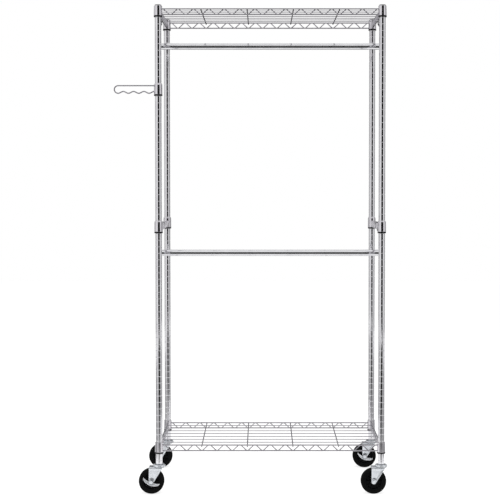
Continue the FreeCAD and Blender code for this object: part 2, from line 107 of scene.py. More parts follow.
def sweep():
    """The pale floor, which ends a little in front of the rack and runs on behind it."""
    half_width, back, shade, lift = 6.0, 9.0, 0.42, 0.74
    floor, tree = studio_piece("sweep", [(-half_width, SWEEP_FRONT, 0), (-half_width, back, 0),
                                         (half_width, SWEEP_FRONT, 0), (half_width, back, 0)])
    matt = add(tree, "ShaderNodeBsdfDiffuse", {"Color": (shade, shade, shade, 1)})
    shown = sum_of(tree, "MULTIPLY", rays_that_show(tree), lift)
    glow = add(tree, "ShaderNodeEmission", {"Color": (1, 1, 1, 1), "Strength": shown})
    both = add(tree, "ShaderNodeAddShader", {0: matt.outputs[0], 1: glow.outputs[0]})
    add(tree, "ShaderNodeOutputMaterial", {"Surface": both.outputs[0]})


def mirrored_card(name, points, shade):
    """A card of one even shade that only mirrors see."""
    card, tree = studio_piece(name, points)
    glow = add(tree, "ShaderNodeEmission", {"Color": (1, 1, 1, 1), "Strength": shade})
    add(tree, "ShaderNodeOutputMaterial", {"Surface": glow.outputs[0]})
    card.visible_camera = card.visible_diffuse = card.visible_shadow = False
    card.visible_transmission = card.visible_volume_scatter = False


def standing_cards():
    """Curved cards at one distance: middle and half width in degrees from the front, shade, heights."""
    distance, bends = 5.0, 12
    for number, (middle, half, shade, low, high) in enumerate((
            (10, 31, 0.02, 0.0, 3.4), (-86, 12, 0.55, -1.0, 4.0), (84, 10, 0.55, -1.0, 4.0),
            (102, 8, 0.12, -1.0, 4.0), (138, 13, 0.16, -1.0, 4.0), (180, 14, 0.06, -1.0, 3.4),
            (-138, 15, 0.16, -1.0, 4.0))):
        points = []
        for bend in range(bends + 1):
            angle = math.radians(middle - half + 2 * half * bend / bends)
            x, y = distance * math.sin(angle), -distance * math.cos(angle)
            points += [(x, y, low), (x, y, high)]
        mirrored_card(f"card_{number}", points, shade)


def lying_cards():
    """Grey cards beside and behind the rack, and three in front of it that darken as they go out."""
    lift = 0.001
    for side, near, far in (("left", -1.0, -3.5), ("right", 1.0, 3.5)):
        mirrored_card(f"grey_floor_{side}", [(near, -0.9, lift), (near, 0.6, lift),
                                             (far, -2.5, lift), (far, 1.5, lift)], 0.42)
    mirrored_card("grey_floor_behind", [(-0.9, 0.9, lift), (-3.4, 4.8, lift), (0.9, 0.9, lift),
                                        (3.4, 4.8, lift)], 0.22)
    edges = ((SWEEP_FRONT, -0.60, 0.85), (-1.2, -0.75, 1.25), (-1.8, -0.95, 1.7), (-4.2, -1.65, 3.6))
    for number, shade in enumerate((0.44, 0.18, 0.03)):
        (near, left, right), (far, far_left, far_right) = edges[number:number + 2]
        mirrored_card(f"dark_floor_{number}", [(left, near, 0), (far_left, far, 0), (right, near, 0),
                                               (far_right, far, 0)], shade)


def soft_lamp(name, place, aim, size, watts):
    """A square lamp turned towards its aim, which mirrors don't show."""
    lamp = bpy.data.lights.new(name, "AREA")
    lamp.shape, lamp.size, lamp.energy = "SQUARE", size, watts
    holder = bpy.data.objects.new(name, lamp)
    holder.location = place
    holder.rotation_euler = (Vector(aim) - Vector(place)).to_track_quat("-Z", "Y").to_euler()
    holder.visible_glossy = False
    scene.collection.objects.link(holder)


def chest_high_camera():
    """The view from in front, at chest height and tipped a little down."""
    place, down = Vector((-0.030, -4.718, 1.240)), math.radians(1.75)
    camera = bpy.data.cameras.new("camera")
    camera.lens, camera.sensor_width = 83.4, 36.0
    camera.shift_x, camera.shift_y = -0.025, -0.075
    holder = bpy.data.objects.new("camera", camera)
    holder.location = place
    holder.rotation_euler = (math.pi / 2 - down, 0, 0)
    scene.collection.objects.link(holder)
    scene.camera = holder


scene.view_settings.view_transform = "Standard"
scene.world = studio_room()
sweep()
standing_cards()
lying_cards()
middle = (0, 0, 0.95)
soft_lamp("lamp_above", (0.0, -0.6, 4.2), middle, 3.0, 60)
soft_lamp("lamp_left", (-3.4, -2.2, 1.9), middle, 2.4, 45)
soft_lamp("lamp_right", (3.4, -1.8, 1.6), middle, 2.4, 35)
chest_high_camera()


# Chromed posts ------------------------------------------------------------------------------------
# Four uprights of one inch steel tube, each in two lengths that screw together half way up. A shallow
# groove is rolled round the tube at every inch for the shelves' sleeves to snap into.
PITCH = 0.0254
TUBE_R = PITCH / 2


def noise(tree, place, size, detail, stretch=(1, 1, 1)):
    """Fractal noise with features of about that size in metres, drawn out along an axis."""
    scaled = add(tree, "ShaderNodeMapping", {"Vector": place, "Scale": stretch})
    return add(tree, "ShaderNodeTexNoise", {"Vector": scaled.outputs[0], "Scale": 1 / size,
                                            "Detail": detail}).outputs["Fac"]


def spread(tree, fac, low, high):
    """The noise's middle stretched over a range of values."""
    return add(tree, "ShaderNodeMapRange", {"Value": fac, "From Min": 0.3, "From Max": 0.7,
                                            "To Min": low, "To Max": high}).outputs["Result"]


def coating(name, inputs, colours, clouds, haze, smears, grain, depth, strength):
    """A finish: clouds between two colours, a haze that comes and goes in smears, and a fine grain.
    Clouds, smears and grain are each a size, a detail and, where they are drawn out, a stretch."""
    paint = bpy.data.materials.new(name)
    paint.use_nodes = True
    tree = paint.node_tree
    tree.nodes.clear()
    shader = add(tree, "ShaderNodeBsdfPrincipled", inputs)
    add(tree, "ShaderNodeOutputMaterial", {"Surface": shader.outputs[0]})
    place = add(tree, "ShaderNodeTexCoord").outputs["Object"]
    cloudy = spread(tree, noise(tree, place, *clouds), 0, 1)
    clear, dark = ((*colour, 1) for colour in colours)
    colour = add(tree, "ShaderNodeMix", {"Factor": cloudy, 6: clear, 7: dark}, data_type="RGBA")
    hazy = spread(tree, noise(tree, place, *smears), *haze)
    bump = add(tree, "ShaderNodeBump", {"Height": noise(tree, place, *grain), "Distance": depth,
                                        "Strength": strength})
    tree.links.new(colour.outputs[2], shader.inputs["Base Color"])
    tree.links.new(hazy, shader.inputs["Roughness"])
    tree.links.new(bump.outputs["Normal"], shader.inputs["Normal"])
    return paint


def chrome(name, clear, cloudy, stretch=(1, 1, 1), haze=(0.05, 0.13)):
    """Bright plate over drawn steel: faint clouds of colour, polishing haze and fine draw lines."""
    return coating(name, {"Metallic": 1.0}, (clear, cloudy), (0.05, 4.0), haze,
                   smears=(0.012, 5.0, stretch), grain=(0.0012, 2.0, stretch), depth=0.000012,
                   strength=0.5)


post_chrome = chrome("post_chrome", (0.74, 0.74, 0.76), (0.66, 0.65, 0.68), (1, 1, 0.12))


def new_tree(name, sizes):
    """A geometry tree that takes a mesh and named sizes, and gives a mesh."""
    tree = bpy.data.node_groups.new(name, "GeometryNodeTree")
    tree.interface.new_socket("Geometry", in_out="OUTPUT", socket_type="NodeSocketGeometry")
    tree.interface.new_socket("Geometry", in_out="INPUT", socket_type="NodeSocketGeometry")
    for label, kind in sizes.items():
        tree.interface.new_socket(label, in_out="INPUT", socket_type="NodeSocket" + kind)
    tree.interface.new_socket("Finish", in_out="INPUT", socket_type="NodeSocketMaterial")
    return tree, tree.nodes.new("NodeGroupInput").outputs


def end_tree(tree, given, geometry, smooth=True):
    """Closes a tree: real mesh, smooth faces and its material."""
    real = add(tree, "GeometryNodeRealizeInstances", {0: geometry})
    shaded = add(tree, "GeometryNodeSetShadeSmooth", {0: real.outputs[0], "Shade Smooth": smooth})
    done = add(tree, "GeometryNodeSetMaterial", {0: shaded.outputs[0], "Material": given["Finish"]})
    add(tree, "NodeGroupOutput", {0: done.outputs[0]})


def grow(tree, points, edges, faces=(), **sizes):
    """The plain mesh that a tree makes from a starting mesh and its sizes."""
    sharp_from = math.radians(50)
    seed = bpy.data.meshes.new("seed")
    seed.from_pydata(points, edges, faces)
    holder = bpy.data.objects.new("seed", seed)
    scene.collection.objects.link(holder)
    grower = holder.modifiers.new("grow", "NODES")
    grower.node_group = tree
    for item in tree.interface.items_tree:
        if item.in_out == "INPUT" and item.name in sizes:
            grower[item.identifier] = sizes[item.name]
    evaluated = holder.evaluated_get(bpy.context.evaluated_depsgraph_get())
    mesh = bpy.data.meshes.new_from_object(evaluated)
    bpy.data.objects.remove(holder)
    mesh.set_sharp_from_angle(angle=sharp_from)
    return mesh


AXIS_R = 0.001


def turning():
    """A closed outline of (radius, height) points, repeated up its axis and turned right round. The
    circle that it follows has a small radius, which is taken off the outline's own."""
    weld = 1e-6
    tree, given = new_tree("turning", {"Facets": "Int", "Repeats": "Int", "Pitch": "Float"})
    step = add(tree, "ShaderNodeCombineXYZ", {"Y": sum_of(tree, "MULTIPLY", given["Pitch"], -1.0)})
    places = add(tree, "GeometryNodeMeshLine", {"Count": given["Repeats"], "Offset": step.outputs[0]})
    rows = add(tree, "GeometryNodeInstanceOnPoints", {"Points": places.outputs[0],
                                                      "Instance": given["Geometry"]})
    real = add(tree, "GeometryNodeRealizeInstances", {0: rows.outputs[0]})
    one_line = add(tree, "GeometryNodeMergeByDistance", {0: real.outputs[0], "Distance": weld})
    outline = add(tree, "GeometryNodeMeshToCurve", {0: one_line.outputs[0]})
    circle = add(tree, "GeometryNodeCurvePrimitiveCircle", {"Resolution": given["Facets"],
                                                            "Radius": AXIS_R}, mode="RADIUS")
    swept = add(tree, "GeometryNodeCurveToMesh", {0: circle.outputs[0], 1: outline.outputs[0]})
    whole = add(tree, "GeometryNodeMergeByDistance", {0: swept.outputs[0], "Distance": weld})
    end_tree(tree, given, whole.outputs[0])
    return tree


turning_tree = turning()


def supported(outline, closed):
    """The outline with a point beside each end of its long runs, which keeps their shading straight."""
    margin, out = 0.0003, []
    ends = outline[1:] + outline[:1] if closed else outline[1:]
    for start, end in zip(outline, ends):
        start, end = Vector(start), Vector(end)
        out.append(tuple(start))
        if (end - start).length > 6 * margin:
            step = (end - start).normalized() * margin
            out += [tuple(start + step), tuple(end - step)]
    return out if closed else out + [outline[-1]]


def turned(outline, finish, facets=48, closed=True, repeats=1, pitch=0.0):
    """A mesh turned about the Z axis from (radius, height) points, bottom first on the outside."""
    outline = supported(outline, closed)
    points = [(radius - AXIS_R, -height, 0) for radius, height in outline]
    edges = [(n, n + 1) for n in range(len(points) - 1)]
    if closed:
        edges.append((len(points) - 1, 0))
    return grow(turning_tree, points, edges, Finish=finish, Facets=facets, Repeats=repeats,
                Pitch=pitch)


def rounded(outline, radius, steps=2):
    """The closed outline with each corner rounded, or eased where its sides are short."""
    out = []
    for n, at in enumerate(outline):
        before, at, after = (Vector(p) for p in (outline[n - 1], at, outline[(n + 1) % len(outline)]))
        back, ahead = before - at, after - at
        reach = min(radius, 0.45 * back.length, 0.45 * ahead.length)
        first, last = at + back.normalized() * reach, at + ahead.normalized() * reach
        for step in range(steps + 1):
            t = step / steps
            out.append(tuple(first * (1 - t) ** 2 + at * 2 * t * (1 - t) + last * t * t))
    return out


def outward(mesh):
    """The closed mesh with its faces turned outwards."""
    solid = bmesh.new()
    solid.from_mesh(mesh)
    bmesh.ops.recalc_face_normals(solid, faces=solid.faces)
    solid.to_mesh(mesh)
    solid.free()
    return mesh


def finished(name, mesh, body, slot, *replaced):
    """The piece in the scene: its faces outward, riding on its body in place of its CAD nodes."""
    outward(mesh).name = name
    piece = bpy.data.objects.new(name, mesh)
    scene.collection.objects.link(piece)
    if replaced:
        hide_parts(*replaced)
    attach(piece, body)
    return piece


def joined(meshes, weld=0.0):
    """One mesh from several, which keep their material. Points closer than the weld become one."""
    whole = bmesh.new()
    for mesh in meshes:
        whole.from_mesh(mesh)
    if weld:
        bmesh.ops.remove_doubles(whole, verts=whole.verts, dist=weld)
    out = bpy.data.meshes.new("joined")
    whole.to_mesh(out)
    whole.free()
    for finish in meshes[0].materials:
        out.materials.append(finish)
    return out


def placed(mesh, x=0.0, y=0.0, z=0.0, turn=None):
    """A copy of the mesh, turned about the origin and then moved."""
    copy = mesh.copy()
    copy.transform(Matrix.Translation((x, y, z)) @ (turn or Matrix.Identity(4)))
    return copy


def middle_of(node):
    low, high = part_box(node)
    return (low + high) / 2


CORNERS = {name: middle_of(name + "_lower_post").xy
           for name in ("front_left", "front_right", "back_left", "back_right")}


def grooved_tube(low, high):
    """One length of post: a wall with a smooth groove at each inch, and plain ends."""
    groove_depth, groove_width, wall, lip, slope_steps = 0.0004, 0.0026, 0.0012, 0.0003, 10
    foot_to_groove, most_grooves = 0.0132, 80
    first_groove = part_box("front_left_lower_post")[0].z + foot_to_groove
    grooves = [first_groove + n * PITCH for n in range(most_grooves)]
    grooves = [z for z in grooves if low + groove_width < z < high - groove_width]
    unit = [(TUBE_R, -PITCH / 2)]
    for step in range(slope_steps + 1):
        along = step / slope_steps - 0.5
        dip = groove_depth * (0.5 + 0.5 * math.cos(math.tau * along))
        unit.append((TUBE_R - dip, along * groove_width))
    unit.append((TUBE_R, PITCH / 2))
    shell = turned([(r, z + grooves[0]) for r, z in unit], post_chrome, 48, False,
                   len(grooves), PITCH)
    foot, head = grooves[0] - PITCH / 2, grooves[-1] + PITCH / 2
    inside, foot_lip, head_lip = TUBE_R - wall, min(lip, foot - low), min(lip, high - head)
    ends = [
        [(TUBE_R, foot), (TUBE_R, low + foot_lip), (TUBE_R - foot_lip, low), (inside, low),
         (inside, foot)],
        [(inside, head), (inside, high), (TUBE_R - head_lip, high), (TUBE_R, high - head_lip),
         (TUBE_R, head)],
        [(inside, foot), (inside, head)],
    ]
    return joined([shell] + [turned(end, post_chrome, 48, False) for end in ends], weld=2e-5)


for length in ("lower", "upper"):
    low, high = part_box(f"front_left_{length}_post")
    post = grooved_tube(low.z, high.z)
    for corner, (x, y) in CORNERS.items():
        finished(f"{corner}_{length}_tube", placed(post, x, y), "rack", "post_chrome",
                 f"{corner}_{length}_post")


# Threaded plugs and joining studs -----------------------------------------------------------------
# Zinc plated steel turnings. The plugs are pressed into the ends of the tubes and the studs screw into
# them to join two lengths. Both are out of sight once the rack stands, so their plain solids are kept.
def zinc(name, clear, dark, haze=(0.24, 0.42), shine=0.9):
    """Bright zinc plate: small bluish clouds, a grainy surface and dull handling marks."""
    return coating(name, {"Metallic": shine}, (clear, dark), (0.007, 3.0), haze, smears=(0.02, 5.0),
                   grain=(0.0009, 2.0), depth=0.00003, strength=0.5)


zinc_steel = zinc("zinc_steel", (0.62, 0.65, 0.70), (0.47, 0.50, 0.56))
for node in ("post_inserts", "post_joining_studs"):
    kept = bpy.data.objects[node]
    kept.data.materials.clear()
    kept.data.materials.append(zinc_steel)


# Caster stems -------------------------------------------------------------------------------------
# A riveted king pin with the upper ball cup, the hexagon for the spanner and the threaded stem that
# screws into the foot of the post. The cup is pressed steel with its lip curled over the balls.
AXLE_Z = middle_of("front_left_tyre").z
TRAIL = CORNERS["front_left"][0] - middle_of("front_left_tyre").x
SHEET = 0.0025  # what the caster's pressed pieces are made from
PINHOLE = 0.0002  # how near its axis a turned solid comes
bright_zinc = zinc("bright_zinc", (0.78, 0.80, 0.83), (0.64, 0.67, 0.71), (0.18, 0.32), 0.8)


def skinned(name, rings, finish=None):
    """A closed mesh through rings of points, each joined to the next and both ends capped."""
    count, points, faces = len(rings[0]), [point for ring in rings for point in ring], []
    for row in range(len(rings) - 1):
        for n in range(count):
            a, b = row * count + n, row * count + (n + 1) % count
            faces.append((a, b, b + count, a + count))
    faces += [tuple(reversed(range(count))), tuple(range(len(points) - count, len(points)))]
    mesh = bpy.data.meshes.new(name)
    mesh.from_pydata(points, [], faces)
    if finish:
        mesh.materials.append(finish)
    return mesh


def six_sided(flats, low, high):
    """A hexagonal prism of bright zinc on the Z axis, its corners eased top and bottom."""
    ease, half = 0.0006, flats / 2
    rings = []
    for z, flat in ((low, half - ease), (low + ease, half), (high - ease, half), (high, half - ease)):
        corner = flat / math.cos(math.radians(30))
        angles = [math.radians(60 * side) for side in range(6)]
        rings.append([(corner * math.cos(angle), corner * math.sin(angle), z) for angle in angles])
    return skinned("six_sided", rings, bright_zinc)


def thread(radius, low, high, pitch, depth=0.0006):
    """The outside of a threaded rod as (radius, height) points, bottom first."""
    outline = [(radius - depth, low)]
    z = low + pitch / 4
    while z + pitch < high:
        outline += [(radius, z), (radius, z + pitch / 6),
                    (radius - depth, z + pitch / 2), (radius - depth, z + pitch * 0.66)]
        z += pitch
    return outline + [(radius - depth, high)]


def king_pin():
    """Riveted head, pin and pressed cup with its lip curled, then the hexagon and the stem."""
    crown_top, stem_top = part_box("front_left_fork")[1].z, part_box("caster_stems")[1].z
    head_r, head_thick, pin_r, cup_r, ease, gap = 0.009, 0.0033, 0.006, 0.0245, 0.0012, 0.0003
    crown_under, cup_under = crown_top - SHEET, crown_top + 0.0062
    head_foot, cup_top, skirt = crown_under - head_thick, cup_under + SHEET, crown_top + 0.0012
    hex_top = cup_top + 0.0033
    lip = [(cup_r - ease + ease * math.cos(a), skirt + ease + ease * math.sin(a))
           for a in (math.radians(d) for d in range(-120, 61, 30))]
    outline = [(PINHOLE, head_foot), (head_r - ease, head_foot), (head_r, head_foot + ease),
               (head_r, crown_under - gap), (pin_r, crown_under - gap), (pin_r, cup_under),
               (cup_r - SHEET, cup_under), (cup_r - SHEET, skirt + 0.001)]
    outline += lip + [(cup_r - 0.0004, skirt + 0.0036), (cup_r - ease, cup_top - 0.0016),
                      (cup_r - 0.003, cup_top - gap), (cup_r - 0.005, cup_top), (PINHOLE, cup_top)]
    stem = thread(0.006, hex_top, stem_top - 0.001, pitch=0.00175)
    stem = [(PINHOLE, hex_top)] + stem + [(0.0045, stem_top), (PINHOLE, stem_top)]
    return joined([turned(outline, bright_zinc, 64), turned(stem, bright_zinc, 24),
                   six_sided(0.019, cup_top - 0.0002, hex_top)])


def creased(mesh, degrees=35):
    """Smooth faces with hard edges where they meet sharply."""
    mesh.shade_smooth()
    mesh.set_sharp_from_angle(angle=math.radians(degrees))
    return mesh


def at_each_corner(mesh):
    """Four copies in one mesh, one about the axis of each post."""
    return joined([placed(mesh, x, y) for x, y in CORNERS.values()])


finished("king_pins", at_each_corner(creased(king_pin())), "rack", "zinc_steel", "caster_stems")


# Swivel balls -------------------------------------------------------------------------------------
# A full ring of loose steel balls in each swivel, between the fork's crown and the cup. They carry
# the rack's weight while the fork turns, and the grease on them leaves a dull brownish film.
def ring_of_balls():
    """Round balls set evenly on a circle, one ring for each point given."""
    tree, given = new_tree("ring_of_balls", {"Balls": "Int", "Circle": "Float", "Ball": "Float"})
    circle = add(tree, "GeometryNodeMeshCircle", {"Vertices": given["Balls"],
                                                  "Radius": given["Circle"]})
    ball = add(tree, "GeometryNodeMeshIcoSphere", {"Radius": given["Ball"], "Subdivisions": 3})
    ring = add(tree, "GeometryNodeInstanceOnPoints", {"Points": circle.outputs[0],
                                                      "Instance": ball.outputs[0]})
    rings = add(tree, "GeometryNodeInstanceOnPoints", {"Points": given["Geometry"],
                                                       "Instance": ring.outputs[0]})
    end_tree(tree, given, rings.outputs[0])
    return tree


ball_steel = chrome("ball_steel", (0.62, 0.62, 0.63), (0.42, 0.40, 0.36), haze=(0.06, 0.22))
ball_z = middle_of("swivel_balls").z
finished("ball_rings", grow(ring_of_balls(), [(x, y, ball_z) for x, y in CORNERS.values()], [],
                            Finish=ball_steel, Balls=12, Circle=0.0155, Ball=0.003),
         "rack", "ball_steel", "swivel_balls")


# Caster forks -------------------------------------------------------------------------------------
# Pressed from 2.5 mm sheet and bent into a yoke: a round crown under the balls and two legs, each
# dished on its outer face between a flat rim and the flat pad that the axle bolt clamps.
def yoke():
    """The folded sheet about the swivel axis, as one closed skin."""
    half_outer, bend, top = 0.0217, 0.0045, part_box("front_left_fork")[1].z
    back, front, tip_r = -TRAIL - 0.009, 0.014, 0.009
    rim, dish, slope_width = 0.0022, 0.0017, 0.0034
    under, legs_top = top - SHEET, top - bend
    span = Vector((front + TRAIL, under - AXLE_Z))
    lean = math.atan2(span.y, span.x) - math.acos(tip_r / span.length)
    touch = Vector((-TRAIL + tip_r * math.cos(lean), AXLE_Z + tip_r * math.sin(lean)))
    slope = (front - touch.x) / (under - touch.y)

    def edges_at(z):
        """The back and front edges of a leg at a height."""
        below = math.sqrt(max(tip_r ** 2 - (z - AXLE_Z) ** 2, 0)) if z < AXLE_Z + tip_r else 0
        x_back = back if z > AXLE_Z else -TRAIL - below
        if z > touch.y:
            return x_back, touch.x + (front - touch.x) * min((z - touch.y) / (under - touch.y), 1)
        return x_back, -TRAIL + below

    def dish_at(x, z, x_back, x_front):
        """How far the leg's outer face is pressed in."""
        to_front = (x_front - x) / math.hypot(1, slope)
        inside = min(x - x_back, to_front, math.hypot(x + TRAIL, z - AXLE_Z) - tip_r, legs_top - z)
        ease = min(max((inside - rim) / slope_width, 0), 1)
        return dish * ease * ease * (3 - 2 * ease)

    def points_at(x, kind, at, side, x_back, x_front):
        """The outer and the inner point of one spot on a leg, on a bend or on the deck between."""
        if kind == "leg":
            pressed = dish_at(x, at, x_back, x_front)
            return (x, side * (half_outer - pressed), at), (x, side * (half_outer - SHEET), at)
        if kind == "bend":
            return ((x, side * (half_outer - bend + radius * math.cos(at)),
                     legs_top + radius * math.sin(at)) for radius in (bend, bend - SHEET))
        y = side * (half_outer - bend) * (1 - at)
        return (x, y, top), (x, y, under)

    tip_rows, leg_rows, bend_rows, deck_rows, columns, crowding = 9, 30, 6, 7, 17, 0.055
    rows = [("leg", AXLE_Z + tip_r * math.sin(math.radians(-86 + 10.75 * n))) for n in range(tip_rows)]
    rows += [("leg", AXLE_Z + (legs_top - AXLE_Z) * (n + 1) / leg_rows) for n in range(leg_rows)]
    rows += [("bend", math.radians(15 * (n + 1))) for n in range(bend_rows)]
    rows += [("deck", (n + 1) / (deck_rows + 1)) for n in range(deck_rows)]
    outer, inner = [], []
    for side, kind, at in [(-1, *row) for row in rows] + [(1, *row) for row in reversed(rows)]:
        x_back, x_front = edges_at(at if kind == "leg" else legs_top)
        for column in range(columns):
            share = column / (columns - 1)
            share -= crowding * math.sin(math.tau * share)
            x = x_back + (x_front - x_back) * share
            out_point, in_point = points_at(x, kind, at, side, x_back, x_front)
            outer.append(out_point)
            inner.append(in_point)
    last_row, shift, faces = len(outer) // columns - 1, len(outer), []
    for row in range(last_row):
        for column in range(columns - 1):
            a = row * columns + column
            quad = (a, a + 1, a + columns + 1, a + columns)
            faces += [quad, tuple(shift + n for n in reversed(quad))]
        for a in (row * columns, (row + 1) * columns - 1):
            faces.append((a, a + columns, shift + a + columns, shift + a))
    for row in (0, last_row):
        for a in range(row * columns, (row + 1) * columns - 1):
            faces.append((a, a + 1, shift + a + 1, shift + a))
    mesh = bpy.data.meshes.new("yoke")
    mesh.from_pydata(outer + inner, [], faces)
    return mesh


def eased(mesh, width):
    """The mesh with its sharp edges bevelled."""
    solid = bmesh.new()
    solid.from_mesh(outward(mesh))
    sharp = [e for e in solid.edges if len(e.link_faces) == 2
             and e.calc_face_angle(0) > math.radians(50)]
    bmesh.ops.bevel(solid, geom=sharp, offset=width, segments=2, profile=0.6,
                    affect="EDGES", clamp_overlap=True)
    out = bpy.data.meshes.new("eased")
    solid.to_mesh(out)
    solid.free()
    return out


def cut_by(mesh, *cutters):
    """The closed mesh with others taken out of it."""
    for cutter in cutters:
        holders = [bpy.data.objects.new("blank", part) for part in (mesh, cutter)]
        for holder in holders:
            scene.collection.objects.link(holder)
        step = holders[0].modifiers.new("cut", "BOOLEAN")
        step.operation, step.object, step.solver = "DIFFERENCE", holders[1], "EXACT"
        evaluated = holders[0].evaluated_get(bpy.context.evaluated_depsgraph_get())
        mesh = bpy.data.meshes.new_from_object(evaluated)
        for holder in holders:
            bpy.data.objects.remove(holder)
    return mesh


def drum(radius, low, high, facets=48):
    """A plain closed cylinder on the Z axis, for cutting with."""
    centre = 0.00005
    return turned([(centre, low), (radius, low), (radius, high), (centre, high)], None, facets)


ALONG_Y = Matrix.Rotation(math.radians(-90), 4, "X")


def washer(inside, outside, low, high, finish, facets, ease=0.0004):
    """A flat ring about the Z axis, its corners eased."""
    outline = [(inside, low), (outside, low), (outside, high), (inside, high)]
    return turned(rounded(outline, ease), finish, facets)


def fork():
    """The yoke with its round crown, bored for the king pin and the axle bolt."""
    crown_top, pin_r, bolt_r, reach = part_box("front_left_fork")[1].z, 0.0064, 0.0041, 0.01
    crown = washer(0.0063, 0.0225, crown_top - 0.0024, crown_top - 0.0001, None, 64, ease=0.0006)
    skin = cut_by(eased(yoke(), 0.0005), drum(pin_r, crown_top - reach, crown_top + reach),
                  placed(drum(bolt_r, -0.03, 0.03, 32), -TRAIL, 0, AXLE_Z, ALONG_Y))
    pressed = joined([skin, crown])
    pressed.materials.clear()
    pressed.materials.append(bright_zinc)
    return creased(pressed, 40)


fork_mesh = fork()
for corner, (x, y) in CORNERS.items():
    finished(f"{corner}_pressed_yoke", placed(fork_mesh, x, y), f"{corner}_swivel", "zinc_steel",
             f"{corner}_fork")


# Wheels -------------------------------------------------------------------------------------------
# A moulded near-black centre with ribs between boss and rim, running on a steel bush, and a solid
# rubber tyre moulded round it with a crowned tread and a raised ring on each side wall.
def moulded(name, clear, dark, haze, grain, depth):
    """Moulded plastic or rubber: a slow change of shade, a fine grain and scuffs."""
    return coating(name, {"Specular IOR Level": 0.10}, (clear, dark), (0.03, 4.0), haze,
                   smears=(0.009, 6.0, (1, 1, 2.5)), grain=(grain, 2.0), depth=depth, strength=0.6)


hub_plastic = moulded("hub_plastic", (0.006, 0.006, 0.007), (0.003, 0.003, 0.004), (0.40, 0.60),
                      0.0006, 0.00004)
tyre_rubber = moulded("tyre_rubber", (0.006, 0.006, 0.006), (0.003, 0.003, 0.003), (0.65, 0.90),
                      0.0011, 0.00006)


def tyre():
    """Both side walls have a shallow step and a raised ring, and the tread is slightly crowned."""
    tread, seat, half, shoulder, step_in = 0.05, 0.036, 0.015, 0.006, 0.0006
    side = [(seat, half - 0.0015), (seat + 0.001, half - step_in), (seat + 0.0024, half - step_in),
            (seat + 0.003, half), (seat + 0.0044, half), (seat + 0.005, half - step_in),
            (tread - shoulder - 0.001, half - 0.0004)]
    for angle in (math.radians(15 * step) for step in range(7)):
        side.append((tread - shoulder + (shoulder - 0.0003) * math.sin(angle),
                     half - shoulder + (shoulder - 0.0004) * math.cos(angle)))
    side += [(tread - 0.0001, half - shoulder - 0.002), (tread, 0.003)]
    return turned(side + [(r, -y) for r, y in reversed(side)], tyre_rubber, 96)


def ribs():
    """One rib, given as a mesh, repeated round the Z axis."""
    tree, given = new_tree("ribs", {"Count": "Int"})
    spots = add(tree, "GeometryNodeMeshCircle", {"Vertices": given["Count"], "Radius": 0.0001})
    number = add(tree, "GeometryNodeInputIndex").outputs[0]
    apart = sum_of(tree, "DIVIDE", math.tau, given["Count"])
    around = add(tree, "ShaderNodeCombineXYZ", {"Z": sum_of(tree, "MULTIPLY", number, apart)})
    rows = add(tree, "GeometryNodeInstanceOnPoints", {"Points": spots.outputs[0],
                                                      "Instance": given["Geometry"],
                                                      "Rotation": around.outputs[0]})
    end_tree(tree, given, rows.outputs[0], False)
    return tree


def block(low, high):
    """The eight corners and six faces of an upright block, its length tapered towards the top."""
    x0, y0, z0 = low
    x1, y1, z1 = high
    taper = (y1 - y0) * 0.2
    points = [(x0, y0, z0), (x1, y0, z0), (x1, y1, z0), (x0, y1, z0),
              (x0, y0 + taper, z1), (x1, y0 + taper, z1), (x1, y1 - taper, z1), (x0, y1 - taper, z1)]
    sides = [(n, (n + 1) % 4, (n + 1) % 4 + 4, n + 4) for n in range(4)]
    return points, [(3, 2, 1, 0), (4, 5, 6, 7)] + sides


def hub():
    """Boss, web and rim turned in one, with ribs on both faces of the web."""
    bore, boss, rim, rim_wall = 0.00655, 0.0135, 0.0358, 0.004
    boss_half, rim_half, web, fillet = 0.0182, 0.013, 0.004, 0.0022
    rib_half, rib_top, sunk, ribs_round = 0.0011, 0.0105, 0.001, 10
    seat = rim - rim_wall
    half = [(bore, boss_half - 0.0006), (bore + 0.0006, boss_half), (boss - 0.0008, boss_half),
            (boss, boss_half - 0.001), (boss + 0.0008, web + fillet), (boss + 0.003, web),
            (seat - 0.0024, web), (seat, web + fillet), (seat + 0.0003, rim_half - 0.0006),
            (seat + 0.001, rim_half), (rim - 0.0008, rim_half), (rim, rim_half - 0.0008)]
    outline = half + [(r, -z) for r, z in reversed(half)]
    points, faces = block((boss - sunk, -rib_half, web - sunk), (seat + sunk, rib_half, rib_top))
    one_face = grow(ribs(), points, [], faces, Finish=hub_plastic, Count=ribs_round)
    mirror = Matrix.Rotation(math.pi, 4, "X")
    return creased(joined([turned(outline, hub_plastic, 80), one_face, placed(one_face, turn=mirror)]))


wheel_parts = {
    "rubber_tyre": (tyre(), "wheel", "tyre_rubber", "tyre"),
    "ribbed_hub": (hub(), "wheel", "hub_plastic", "wheel_hub"),
    "steel_bush": (washer(0.0041, 0.0065, -0.0191, 0.0191, zinc_steel, 40), "swivel", "zinc_steel",
                   "wheel_bush"),
}
for name, (mesh, body, slot, node) in wheel_parts.items():
    for corner, (x, y) in CORNERS.items():
        finished(f"{corner}_{name}", placed(mesh, x - TRAIL, y, AXLE_Z, ALONG_Y), f"{corner}_{body}",
                 slot, f"{corner}_{node}")


